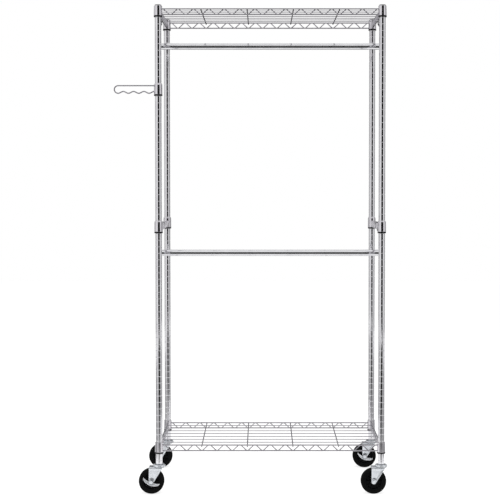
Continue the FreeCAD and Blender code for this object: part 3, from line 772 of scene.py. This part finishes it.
# Axle bolts and nuts ------------------------------------------------------------------------------
# An M8 hexagon bolt through both legs of the fork and the bush, with its nut at the back. The head
# stands further out where a brake lever turns on the bolt.
def bolt_and_nut(corner):
    """The bolt about Z with its head lowest, and the nut where the far leg ends."""
    low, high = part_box(f"{corner}_axle_bolt_and_nut")
    y, flats, shank_r, leg, nut_out = CORNERS[corner][1], 0.013, 0.004, 0.0217, 0.0285
    head_out, end = low.y - y, high.y - y
    head_in = head_out + 0.0053
    shank = [(PINHOLE, head_in - 0.0005), (shank_r - 0.00005, head_in - 0.0005), (shank_r, leg)]
    shank += thread(shank_r, leg, end - 0.0008, 0.00125, 0.0005) + [(0.0031, end), (PINHOLE, end)]
    face = rounded([(PINHOLE, head_in - 0.0008), (0.0062, head_in - 0.0008), (0.0062, head_in),
                    (PINHOLE, head_in)], 0.0002, steps=1)
    return creased(joined([turned(shank, bright_zinc, 24), six_sided(flats, head_out, head_in - 0.0003),
                           turned(face, bright_zinc, 32), six_sided(flats, leg, nut_out)]))


for corner, (x, y) in CORNERS.items():
    finished(f"{corner}_bolt_with_nut",
             placed(bolt_and_nut(corner), x - TRAIL, y, AXLE_Z, ALONG_Y), f"{corner}_swivel",
             "zinc_steel", f"{corner}_axle_bolt_and_nut")


# Brakes on the front left and back right casters --------------------------------------------------
# A moulded cam beside the fork, and a pressed steel pedal shaped like a crescent that rocks on the
# axle bolt. A ribbed tread flange stands out along its lower edge for the toe.
pedal_zinc = zinc("pedal_zinc", (0.86, 0.87, 0.89), (0.76, 0.78, 0.81), (0.28, 0.44))


def pedal():
    """The crescent about the axle, level, its web in the XZ plane and its tread towards -Y."""
    tip, rise, belly, depth, width, back = 0.034, 0.0035, 0.0105, 0.009, 0.014, -0.0250
    front, hub_r, bore_r, stations, tip_share = back - SHEET, 0.0080, 0.0042, 72, 0.98
    low_r = (tip ** 2 + (rise + belly) ** 2) / (2 * (rise + belly))
    top_rise = rise + SHEET + belly - depth
    high_r = (tip ** 2 + top_rise ** 2) / (2 * top_rise)
    rings = []
    for n in range(stations + 1):
        share = (-1 + 2 * n / stations) * tip_share
        x = tip * math.sin(share * math.pi / 2) / math.sin(math.pi / 2 * tip_share)
        low = -belly + low_r - math.sqrt(low_r ** 2 - x * x)
        high = depth - belly + high_r - math.sqrt(high_r ** 2 - x * x)
        near_tip = min(1.0, (tip - abs(x)) / 0.004)
        edge = back - width * (0.55 + 0.45 * math.sin(near_tip * math.pi / 2))
        rib = 0.00045 if n % 4 in (1, 2) and abs(x) > 0.010 else 0.0
        tread = low + SHEET - 0.0005
        row = [(back, low), (back, high - 0.0004), (back - 0.0005, high), (front + 0.0005, high),
               (front, high - 0.0005), (front, max(tread + 0.0018, low + SHEET)),
               (front - 0.0006, tread + 0.0007), (front - 0.0018, tread + rib),
               (edge + 0.0006, tread + rib), (edge, tread - 0.0007), (edge, low + 0.0006),
               (edge + 0.0006, low)]
        rings.append([(x, y, z) for y, z in row])
    bore = placed(drum(bore_r, -0.05, 0.05, 32), turn=ALONG_Y)
    disc = washer(bore_r, hub_r, 0, SHEET + 0.0004, None, 48, ease=0.0005)
    lever = joined([cut_by(outward(skinned("pedal", rings)), bore),
                    placed(disc, y=front - 0.0002, turn=ALONG_Y)])
    lever.materials.clear()
    lever.materials.append(pedal_zinc)
    return creased(lever, 30)


cam_mesh = creased(turned(rounded([(0.0041, -0.0015), (0.0066, -0.0015), (0.0072, -0.0011),
                                   (0.0090, -0.0011), (0.0090, 0.0015), (0.0041, 0.0015)], 0.0003),
                          hub_plastic, 48))
pedal_mesh, released = pedal(), Matrix.Rotation(math.radians(21), 4, "Y")
for corner in ("front_left", "back_right"):
    x, y = CORNERS[corner]
    cam = middle_of(f"{corner}_brake_cam")
    finished(f"{corner}_moulded_cam", placed(cam_mesh, cam.x, cam.y, cam.z, ALONG_Y),
             f"{corner}_swivel", "hub_plastic", f"{corner}_brake_cam")
    finished(f"{corner}_crescent_pedal", placed(pedal_mesh, x - TRAIL, y, AXLE_Z, released),
             f"{corner}_brake", "zinc_steel", f"{corner}_brake_lever")


# Wedge sleeves ------------------------------------------------------------------------------------
# Two moulded plastic halves clipped round the post at each level. A rib inside snaps into the groove,
# the outside is a taper that the collar jams on, and a ring with a small lip shows below the collar.
black_plastic = moulded("black_plastic", (0.008, 0.008, 0.009), (0.004, 0.004, 0.005), (0.34, 0.55),
                        0.0005, 0.00003)
COLLAR_FOOT, COLLAR_R = 0.018, 0.0165
SHELF_RIBS = {name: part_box(f"{name}_shelf_collars")[0].z + COLLAR_FOOT for name in ("bottom", "top")}
BRACE_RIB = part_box("side_brace_collars")[0].z + COLLAR_FOOT
ARM_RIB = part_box("side_arm_collar")[0].z + COLLAR_FOOT


def part_turned(outline, start, end, finish, steps=30):
    """A closed outline of (radius, height) points turned between two angles, its ends closed."""
    rings = []
    for step in range(steps + 1):
        angle = math.radians(start + (end - start) * step / steps)
        rings.append([(r * math.cos(angle), r * math.sin(angle), z) for r, z in outline])
    return creased(skinned("part_turned", rings, finish), 40)


def sleeve(rib, shouldered=False):
    """Both halves at one level. The foot and head of the taper fit the collar that jams on it."""
    head_r, head = (0.01455, rib + 0.016) if shouldered else (0.01385, rib + 0.020)
    foot_r, foot, ring_r, ring_foot = 0.01495, rib - COLLAR_FOOT, 0.0165, rib - 0.024
    inside, lip_r = TUBE_R + 0.00005, ring_r - 0.0004
    snap_r, snap, parting = inside - 0.00045, 0.0012, 0.0005
    outline = [(inside, ring_foot + 0.0004), (inside + 0.0004, ring_foot), (ring_r - 0.0008, ring_foot),
               (ring_r, ring_foot + 0.0008), (ring_r, foot - 0.0014), (lip_r, foot - 0.0010),
               (lip_r, foot - 0.0003), (ring_r - 0.0007, foot), (foot_r, foot),
               (head_r, head - 0.0006), (head_r - 0.0004, head), (inside, head),
               (inside, rib + snap), (snap_r, rib + snap / 2), (snap_r, rib - snap / 2),
               (inside, rib - snap)]
    gap = math.degrees(parting / TUBE_R)
    return joined([part_turned(outline, start + gap, start + 180 - gap, black_plastic)
                   for start in (0, 180)])


for level, rib in SHELF_RIBS.items():
    finished(f"{level}_wedge_halves", at_each_corner(sleeve(rib)), "rack", "black_plastic",
             f"{level}_shelf_sleeves")
finished("brace_wedge_halves", at_each_corner(sleeve(BRACE_RIB, shouldered=True)), "rack",
         "black_plastic", "side_brace_sleeves")
finished("arm_wedge_halves", placed(sleeve(ARM_RIB, shouldered=True), *CORNERS["front_left"]), "rack",
         "black_plastic", "side_arm_sleeve")


# Collars ------------------------------------------------------------------------------------------
# Short steel tubes pressed to a taper, which slide down over the sleeves and jam. The wires of their
# shelf are welded to them. The brace and arm collars draw in to the post with a round shoulder.
wire_chrome = chrome("wire_chrome", (0.46, 0.45, 0.475), (0.38, 0.37, 0.40), haze=(0.07, 0.17))
collar_chrome = chrome("collar_chrome", (0.70, 0.685, 0.72), (0.60, 0.585, 0.62), haze=(0.06, 0.14))
COLLAR_WALL = 0.0015


def collar(rib, shouldered=False):
    """One collar about the Z axis, its rims rounded."""
    low, rim = rib - COLLAR_FOOT, 0.00055
    if shouldered:
        shoulder, top, neck = rib + 0.016, rib + 0.024, 0.0145
        outer = [(COLLAR_R, low), (0.01612, shoulder - 0.0016)]
        for share in (math.sin(math.radians(15 * step)) for step in range(7)):
            outer.append((neck + 0.0016 * math.sqrt(1 - share ** 2),
                          shoulder - 0.001 + (top - 0.0008 - shoulder) * share))
        outer.append((neck, top))
    else:
        top = rib + 0.020
        outer = [(COLLAR_R, low), (0.01632, low + 0.0032), (0.0154, top)]
    inner = [(r - COLLAR_WALL, z) for r, z in reversed(outer)]
    foot_r, head_r = COLLAR_R, outer[-1][0]
    ring = [(foot_r - COLLAR_WALL + rim, low), (foot_r - rim, low), (foot_r - 0.0001, low + rim)]
    ring += outer[1:-1]
    ring += [(head_r, top - rim), (head_r - rim, top), (head_r - COLLAR_WALL + rim, top),
             (head_r - COLLAR_WALL, top - rim)]
    ring += inner[1:-1]
    ring.append((foot_r - COLLAR_WALL, low + rim))
    return turned(ring, collar_chrome, 64)


for level, rib in SHELF_RIBS.items():
    finished(f"{level}_taper_collars", at_each_corner(collar(rib)), "rack", "wire_chrome",
             f"{level}_shelf_collars")
finished("brace_shoulder_collars", at_each_corner(collar(BRACE_RIB, shouldered=True)), "rack",
         "wire_chrome", "side_brace_collars")
finished("arm_shoulder_collar", placed(collar(ARM_RIB, shouldered=True), *CORNERS["front_left"]),
         "rack", "wire_chrome", "side_arm_collar")


# Shelf rails --------------------------------------------------------------------------------------
# Round each shelf run two straight wires with a zigzag wire between them, spot welded at every bend,
# and their ends are welded to the collars. The zigzag stands on the shelf's side of the wires.
RAIL_R, ZIGZAG_R, BEND_R = 0.0025, 0.0020, 0.008
UPPER_WIRE, LOWER_WIRE = 0.008, -0.014
TRUSS_HEIGHT = UPPER_WIRE - LOWER_WIRE
LONG_PITCH, SIDE_PITCH = 0.0596, 0.05175


def drawn(tree, given, path, facets):
    """Closes a tree with round wire drawn along its path, the ends closed."""
    section = add(tree, "GeometryNodeCurvePrimitiveCircle", {"Resolution": facets,
                                                             "Radius": given["Wire"]}, mode="RADIUS")
    round_wire = add(tree, "GeometryNodeCurveToMesh", {"Curve": path.outputs[0], "Fill Caps": True,
                                                       "Profile Curve": section.outputs[0]})
    end_tree(tree, given, round_wire.outputs[0])
    return tree


def wire_along():
    """Round wire along a line of points, with each corner bent to a radius and its ends closed."""
    tree, given = new_tree("wire_along", {"Wire": "Float", "Bend": "Float", "Facets": "Int"})
    path = add(tree, "GeometryNodeMeshToCurve", {0: given["Geometry"]})
    bent = add(tree, "GeometryNodeFilletCurve", {"Curve": path.outputs[0], "Count": 6,
                                                 "Radius": given["Bend"], "Limit Radius": True},
               mode="POLY")
    return drawn(tree, given, bent, given["Facets"])


def zigzag_wire():
    """A zigzag between two heights along X, from end to end, bent to a radius at each turn."""
    tree, given = new_tree("zigzag_wire", {"Half Length": "Float", "Half Pitch": "Float",
                                           "Turns": "Int", "Phase": "Float", "Low": "Float",
                                           "Rise": "Float", "Wire": "Float", "Bend": "Float"})
    back = sum_of(tree, "MULTIPLY", given["Turns"], -1.0)
    first = add(tree, "ShaderNodeCombineXYZ", {"X": sum_of(tree, "MULTIPLY", back,
                                                           given["Half Pitch"])})
    step = add(tree, "ShaderNodeCombineXYZ", {"X": given["Half Pitch"]})
    line = add(tree, "GeometryNodeMeshLine",
               {"Count": sum_of(tree, "MULTIPLY_ADD", given["Turns"], 2.0, 1.0),
                "Start Location": first.outputs[0], "Offset": step.outputs[0]})
    spot = add(tree, "GeometryNodeInputPosition")
    along = add(tree, "ShaderNodeSeparateXYZ", {0: spot.outputs[0]}).outputs["X"]
    end = sum_of(tree, "MINIMUM", sum_of(tree, "ABSOLUTE", along), given["Half Length"])
    x = sum_of(tree, "MULTIPLY", end, sum_of(tree, "SIGN", along))
    wave = sum_of(tree, "PINGPONG", sum_of(tree, "ADD", end, given["Phase"]), given["Half Pitch"])
    share = sum_of(tree, "DIVIDE", wave, given["Half Pitch"])
    z = sum_of(tree, "MULTIPLY_ADD", share, given["Rise"], given["Low"])
    place = add(tree, "ShaderNodeCombineXYZ", {"X": x, "Z": z})
    bends = add(tree, "GeometryNodeSetPosition", {0: line.outputs[0], "Position": place.outputs[0]})
    path = add(tree, "GeometryNodeMeshToCurve", {0: bends.outputs[0]})
    bent = add(tree, "GeometryNodeFilletCurve", {"Curve": path.outputs[0], "Count": 6,
                                                 "Radius": given["Bend"]}, mode="POLY")
    return drawn(tree, given, bent, 12)


def weld_beads():
    """A small flattened bead at each point given."""
    tree, given = new_tree("weld_beads", {"Bead": "Float", "Size": "Vector"})
    ball = add(tree, "GeometryNodeMeshIcoSphere", {"Radius": given["Bead"], "Subdivisions": 2})
    row = add(tree, "GeometryNodeInstanceOnPoints", {"Points": given["Geometry"],
                                                     "Instance": ball.outputs[0],
                                                     "Scale": given["Size"]})
    end_tree(tree, given, row.outputs[0])
    return tree


wire_tree, zigzag_tree, bead_tree = wire_along(), zigzag_wire(), weld_beads()
HALF_X, HALF_Y = CORNERS["back_right"]
INSET = RAIL_R + ZIGZAG_R
ACROSS = Matrix.Rotation(math.radians(90), 4, "Z")


def wire(points, radius, finish, bend=0.0, facets=16):
    """One round wire along the points."""
    return grow(wire_tree, points, [(n, n + 1) for n in range(len(points) - 1)], Finish=finish,
                Wire=radius, Bend=bend, Facets=facets)


def beads(points, radius, size, finish):
    """A weld bead at each point, its radius stretched by a factor for each axis."""
    return grow(bead_tree, points, [], Finish=finish, Bead=radius, Size=size)


def end_welds(points, finish):
    """The welds by which a wire's ends hold to a collar."""
    return beads(points, 0.0034, (0.55, 1.05, 1.0), finish)


def collar_r(height, shouldered):
    """The collar's outer radius at a height above the rib."""
    top, top_r = (0.016, 0.0161) if shouldered else (0.020, 0.0154)
    return COLLAR_R + (top_r - COLLAR_R) * (height + COLLAR_FOOT) / (top + COLLAR_FOOT)


def truss(half, pitch, low_at_middle, inset, shouldered, finish):
    """Two wires and a zigzag along X, from post axis to post axis, at heights above the rib. The bends
    cut the zigzag's corners, so its points lie further out than the wires by what is cut off."""
    slope = math.atan2(TRUSS_HEIGHT, pitch / 2)
    for _ in range(20):
        over = BEND_R * (1 / math.cos(slope) - 1)
        slope = math.atan2(TRUSS_HEIGHT + 2 * over, pitch / 2)
    parts = []
    for height in (UPPER_WIRE, LOWER_WIRE):
        end = half - collar_r(height, shouldered) + COLLAR_WALL / 2
        parts.append(wire([(-end, 0, height), (0, 0, height), (end, 0, height)], RAIL_R, finish))
        parts.append(end_welds([(s * (end - 0.0011), 0, height) for s in (-1, 1)], finish))
    end = half - collar_r(0, shouldered) - 0.0005
    turns = math.ceil(end / (pitch / 2))
    zigzag = grow(zigzag_tree, [(0, 0, 0)], [], Finish=finish, Turns=turns, Low=LOWER_WIRE - over,
                  Rise=TRUSS_HEIGHT + 2 * over, Phase=0.0 if low_at_middle else pitch / 2,
                  **{"Half Length": end, "Half Pitch": pitch / 2, "Wire": ZIGZAG_R, "Bend": BEND_R})
    parts.append(placed(zigzag, 0, inset, 0))
    welds = []
    for k in range(-turns + 1, turns):
        low = (k % 2 == 0) == low_at_middle
        welds.append((k * pitch / 2, inset * 0.55, LOWER_WIRE if low else UPPER_WIRE))
    parts.append(beads(welds, 0.0017, (1.7, 1.0, 0.9), finish))
    return joined(parts)


def long_rail(side, rib):
    """The front or the back rail of a shelf."""
    rail = truss(HALF_X, LONG_PITCH, False, -side * INSET, False, wire_chrome)
    return placed(rail, 0, side * HALF_Y, rib)


def side_rail(side, rib, shouldered=False, finish=wire_chrome):
    """The left or the right rail of a shelf, or the truss of a side brace."""
    rail = truss(HALF_Y, SIDE_PITCH, True, side * INSET, shouldered, finish)
    return placed(rail, side * HALF_X, 0, rib, ACROSS)


for level, rib in SHELF_RIBS.items():
    rails = [make(side, rib) for make in (long_rail, side_rail) for side in (-1, 1)]
    finished(f"{level}_welded_rails", joined(rails), "rack", "wire_chrome", f"{level}_shelf_rails")


# Shelf decks --------------------------------------------------------------------------------------
# Seven long wires laid on four thicker cross wires and spot welded at every crossing. The long wires
# end on the side rails and the cross wires run under the front and back rails.
DECK_R, CROSS_R, CROSS_PITCH = 0.00175, 0.00225, 3 * LONG_PITCH
LONG_WIRES, CROSS_WIRES = 7, 4


def row_of_wires():
    """Straight wires side by side: one line of points repeated by a step."""
    tree, given = new_tree("row_of_wires", {"Count": "Int", "Step": "Vector", "Wire": "Float"})
    spots = add(tree, "GeometryNodeMeshLine", {"Count": given["Count"], "Offset": given["Step"]})
    rows = add(tree, "GeometryNodeInstanceOnPoints", {"Points": spots.outputs[0],
                                                      "Instance": given["Geometry"]})
    real = add(tree, "GeometryNodeRealizeInstances", {0: rows.outputs[0]})
    return drawn(tree, given, add(tree, "GeometryNodeMeshToCurve", {0: real.outputs[0]}), 14)


row_tree = row_of_wires()


def deck(rib):
    """The long wires, the cross wires under them, and the welds at crossings, ends and rails."""
    cross_z = rib + UPPER_WIRE - RAIL_R - CROSS_R
    deck_z = cross_z + CROSS_R + DECK_R
    end_x, end_y = HALF_X - 0.0006, HALF_Y + RAIL_R
    xs = [(n - (CROSS_WIRES - 1) / 2) * CROSS_PITCH for n in range(CROSS_WIRES)]
    ys = [(n - (LONG_WIRES - 1) / 2) * SIDE_PITCH for n in range(LONG_WIRES)]
    wires = grow(row_tree, [(x, ys[0], deck_z) for x in (-end_x, 0, end_x)], [(0, 1), (1, 2)],
                 Finish=wire_chrome, Count=LONG_WIRES, Step=(0, SIDE_PITCH, 0), Wire=DECK_R)
    across = grow(row_tree, [(xs[0], y, cross_z) for y in (-end_y, 0, end_y)], [(0, 1), (1, 2)],
                  Finish=wire_chrome, Count=CROSS_WIRES, Step=(CROSS_PITCH, 0, 0), Wire=CROSS_R)
    crossings = [(x, y, deck_z - DECK_R) for x in xs for y in ys]
    ends = [(s * HALF_X, y, deck_z + 0.0006) for s in (-1, 1) for y in ys]
    seats = [(x, s * HALF_Y, cross_z + CROSS_R) for x in xs for s in (-1, 1)]
    return joined([wires, across, beads(crossings, 0.0017, (1.25, 1.25, 0.6), wire_chrome),
                   beads(ends, 0.0024, (1.0, 1.0, 0.7), wire_chrome),
                   beads(seats, 0.0022, (1.3, 1.0, 0.6), wire_chrome)])


for level, rib in SHELF_RIBS.items():
    finished(f"{level}_wire_deck", deck(rib), "rack", "wire_chrome", f"{level}_shelf_mat")


# Side braces --------------------------------------------------------------------------------------
# Half way up, one truss at each end runs from front post to back post. It is made like the shelves'
# sides, two steel wires and a zigzag, and is welded to its collars and chromed with them.
for name, side in (("left", -1), ("right", 1)):
    finished(f"{name}_brace_truss", side_rail(side, BRACE_RIB, True, collar_chrome), "rack",
             "wire_chrome", f"{name}_side_brace")


# Hanging rods -------------------------------------------------------------------------------------
# Polished tubes of one inch, open at the ends, which carry the hangers. They lie in the eyes of the
# straps and reach a little beyond the posts at both sides.
rod_chrome = chrome("rod_chrome", (0.76, 0.76, 0.78), (0.68, 0.68, 0.70), (0.10, 1, 1), (0.03, 0.10))
ALONG_X = Matrix.Rotation(math.radians(90), 4, "Y")


def rod(node):
    """An open tube along X, its outer rims eased."""
    low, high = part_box(node)
    wall, lip, half, outside = 0.0012, 0.0003, high.x, (high.z - low.z) / 2
    outline = [(outside - wall, -half), (outside - lip, -half), (outside, -half + lip),
               (outside, half - lip), (outside - lip, half), (outside - wall, half)]
    return placed(turned(outline, rod_chrome, 64), 0, 0, middle_of(node).z, ALONG_X)


for level in ("upper", "lower"):
    finished(f"{level}_polished_rod", rod(f"{level}_hanging_rod"), "rack", "rod_chrome",
             f"{level}_hanging_rod")


# Rod end plugs ------------------------------------------------------------------------------------
# Black moulded plugs pushed into the ends of the rods. A thin domed flange covers the tube's edge, and
# the fins on the core bend as they go in and hold the plug.
def finned_core(core, depth, fins, first, apart):
    """The outside of a plug's core as (radius, height) points up to height zero."""
    fin_r = 0.01142
    outline = [(PINHOLE, -depth), (0.0097, -depth), (core, -depth + 0.0008)]
    for z in (-depth + first + fin * apart for fin in range(fins)):
        outline += [(core, z), (fin_r, z + 0.0004), (core, z + 0.0014)]
    return outline + [(core, 0)]


def end_plug():
    """A plug about Z, its flange above height zero."""
    flange, radius = 0.0025, TUBE_R
    outline = finned_core(0.0103, 0.014, fins=4, first=0.0018, apart=0.0028)
    outline += [(radius - 0.0003, 0), (radius, 0.0003), (radius, flange * 0.5),
                (radius - 0.0006, flange * 0.82), (radius - 0.0020, flange * 0.95),
                (radius - 0.0045, flange), (PINHOLE, flange)]
    return turned(outline, black_plastic, 48)


plugs = []
for level in ("upper", "lower"):
    low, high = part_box(f"{level}_hanging_rod")
    for side in (-1, 1):
        turn = Matrix.Rotation(math.radians(90 * side), 4, "Y")
        plugs.append(placed(end_plug(), side * high.x, 0, middle_of(f"{level}_hanging_rod").z, turn))
finished("finned_end_plugs", joined(plugs), "rack", "black_plastic", "rod_end_plugs")


# Rod straps ---------------------------------------------------------------------------------------
# Flat steel strip 24 mm by 3 mm, hooked over the truss above and stepped out below it, with an eye
# that the rod lies in. The hook's finger is slotted where a deck wire ends on the rail.
def rounded_path(corners, radius, steps=6):
    """Points along straight runs with an arc at each inner corner, in one plane."""
    out = [Vector(corners[0])]
    for before, at, after in zip(corners, corners[1:], corners[2:]):
        at = Vector(at)
        back, ahead = (Vector(before) - at).normalized(), (Vector(after) - at).normalized()
        half = (math.pi - back.angle(ahead)) / 2
        cut = radius * math.tan(half)
        middle = at + (back + ahead).normalized() * radius / math.cos(half)
        first, last = at + back * cut - middle, at + ahead * cut - middle
        for step in range(steps + 1):
            out.append(middle + first.normalized().slerp(last.normalized(), step / steps) * radius)
    return out + [Vector(corners[-1])]


def ribbon(path, low, high, thick):
    """A chromed strip of that thickness centred on an XZ path, from low to high in Y, edges eased."""
    ease, full, rings = 0.0004, 0.72, []
    for n, at in enumerate(path):
        ahead = path[min(n + 1, len(path) - 1)] - path[max(n - 1, 0)]
        normal = Vector((-ahead.y, ahead.x)).normalized() * thick / 2
        rings.append([(at.x + normal.x * off, y, at.y + normal.y * off) for y, off in (
            (low + ease, -1), (high - ease, -1), (high, -full), (high, full),
            (high - ease, 1), (low + ease, 1), (low, full), (low, -full))])
    return skinned("ribbon", rings, rod_chrome)


def strap(rod_z, rib):
    """The strap at the right end of a rod."""
    half_thick, half_wide, half_slot, outer, inlaid = 0.0015, 0.012, 0.00275, 0.448, 0.00004
    off_wire = RAIL_R + 0.0002 + half_thick
    upper, lower = rib + UPPER_WIRE, rib + LOWER_WIRE
    slot_top, tip, jog = upper + 0.002, upper - 0.007, lower - 0.010
    hook = rounded_path([(HALF_X - off_wire, slot_top), (HALF_X - off_wire, upper + off_wire),
                         (HALF_X + off_wire, upper + off_wire), (HALF_X + off_wire, jog),
                         (outer, jog - 0.012), (outer, rod_z + 0.0155)], 0.0030)
    parts = [ribbon(hook, -half_wide, half_wide, 2 * half_thick)]
    finger = [Vector((HALF_X - off_wire, slot_top + 0.0003)), Vector((HALF_X - off_wire, tip))]
    for low, high in ((-half_wide, -half_slot), (half_slot, half_wide)):
        parts.append(ribbon(finger, low, high, 2 * half_thick - 0.00006))
    eye = washer(0.0128, 0.0182, -half_thick + inlaid, half_thick - inlaid, rod_chrome, 64)
    parts.append(placed(eye, outer, 0, rod_z, ALONG_X))
    return creased(joined(parts), 40)


for level, rib in (("upper", SHELF_RIBS["top"]), ("lower", BRACE_RIB)):
    right = strap(middle_of(f"{level}_hanging_rod").z, rib)
    left = placed(right, turn=Matrix.Rotation(math.pi, 4, "Z"))
    finished(f"{level}_hooked_straps", joined([right, left]), "rack", "rod_chrome",
             f"{level}_rod_straps")


# Side arm -----------------------------------------------------------------------------------------
# One wire bent into a long upright loop outside the front left post: straight above, and wavy below
# so that hangers keep their places. Both ends are welded to a collar of its own.
def arm_path():
    """The loop's centre line in XZ from the post axis, out along the top and back below."""
    top, trough, reach, wire_r, pitch, height = 0.016, -0.0135, 0.173, 0.0025, 0.040, 0.007
    end_r = (top - trough) / 2
    end_x = -(reach - wire_r - end_r)
    points = [(0, top), (end_x / 2, top)]
    for step in range(17):
        angle = math.radians(90 + 180 * step / 16)
        points.append((end_x + end_r * math.cos(angle), top - end_r + end_r * math.sin(angle)))
    quarter, amplitude = pitch / 4, height / 2
    last_crest = end_x + math.floor((-end_x - 1.5 * quarter) / (2 * quarter)) * 2 * quarter
    steps = int(round((last_crest - end_x) / quarter * 5))
    for step in range(1, steps + 1):
        x = end_x + (last_crest - end_x) * step / steps
        points.append((x, trough + amplitude * (1 - math.cos(math.tau * (x - end_x) / pitch))))
    points.append((0, points[-1][1]))
    return points


arm_x, arm_y = CORNERS["front_left"]
collar_edge = collar_r(0.010, True) - COLLAR_WALL / 2
centre_line = [(min(x, -collar_edge), 0, z) for x, z in arm_path()]
loop = wire(centre_line, RAIL_R, wire_chrome, facets=20)
arm_ends = [(-collar_edge - 0.0014, 0, centre_line[end][2]) for end in (0, -1)]
finished("wavy_arm_loop", placed(joined([loop, end_welds(arm_ends, wire_chrome)]), arm_x, arm_y,
                                 ARM_RIB), "rack", "wire_chrome", "side_arm_loop")


# Post caps ----------------------------------------------------------------------------------------
# Black moulded caps, pushed in to close the tops of the posts. Each is a low domed head over a plug
# with fins like those of the rods' plugs.
def post_cap():
    """A cap about Z with the tube's end at height zero."""
    head, radius, ease, steps = 0.003, TUBE_R, 0.001, 4
    outline = finned_core(0.0105, 0.010, fins=3, first=0.0016, apart=0.0026)
    outline += [(radius - 0.0002, 0), (radius, 0.0003), (radius, head - ease)]
    for step in range(1, steps + 1):
        angle = math.radians(90 * step / steps)
        outline.append((radius - ease * 1.6 * (1 - math.cos(angle)),
                        head - ease + (ease - 0.0003) * math.sin(angle)))
    outline += [(radius * 0.55, head - 0.0001), (PINHOLE, head)]
    return turned(outline, black_plastic, 48)


post_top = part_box("front_left_upper_post")[1].z
finished("domed_post_caps", placed(at_each_corner(post_cap()), 0, 0, post_top), "rack",
         "black_plastic", "post_caps")
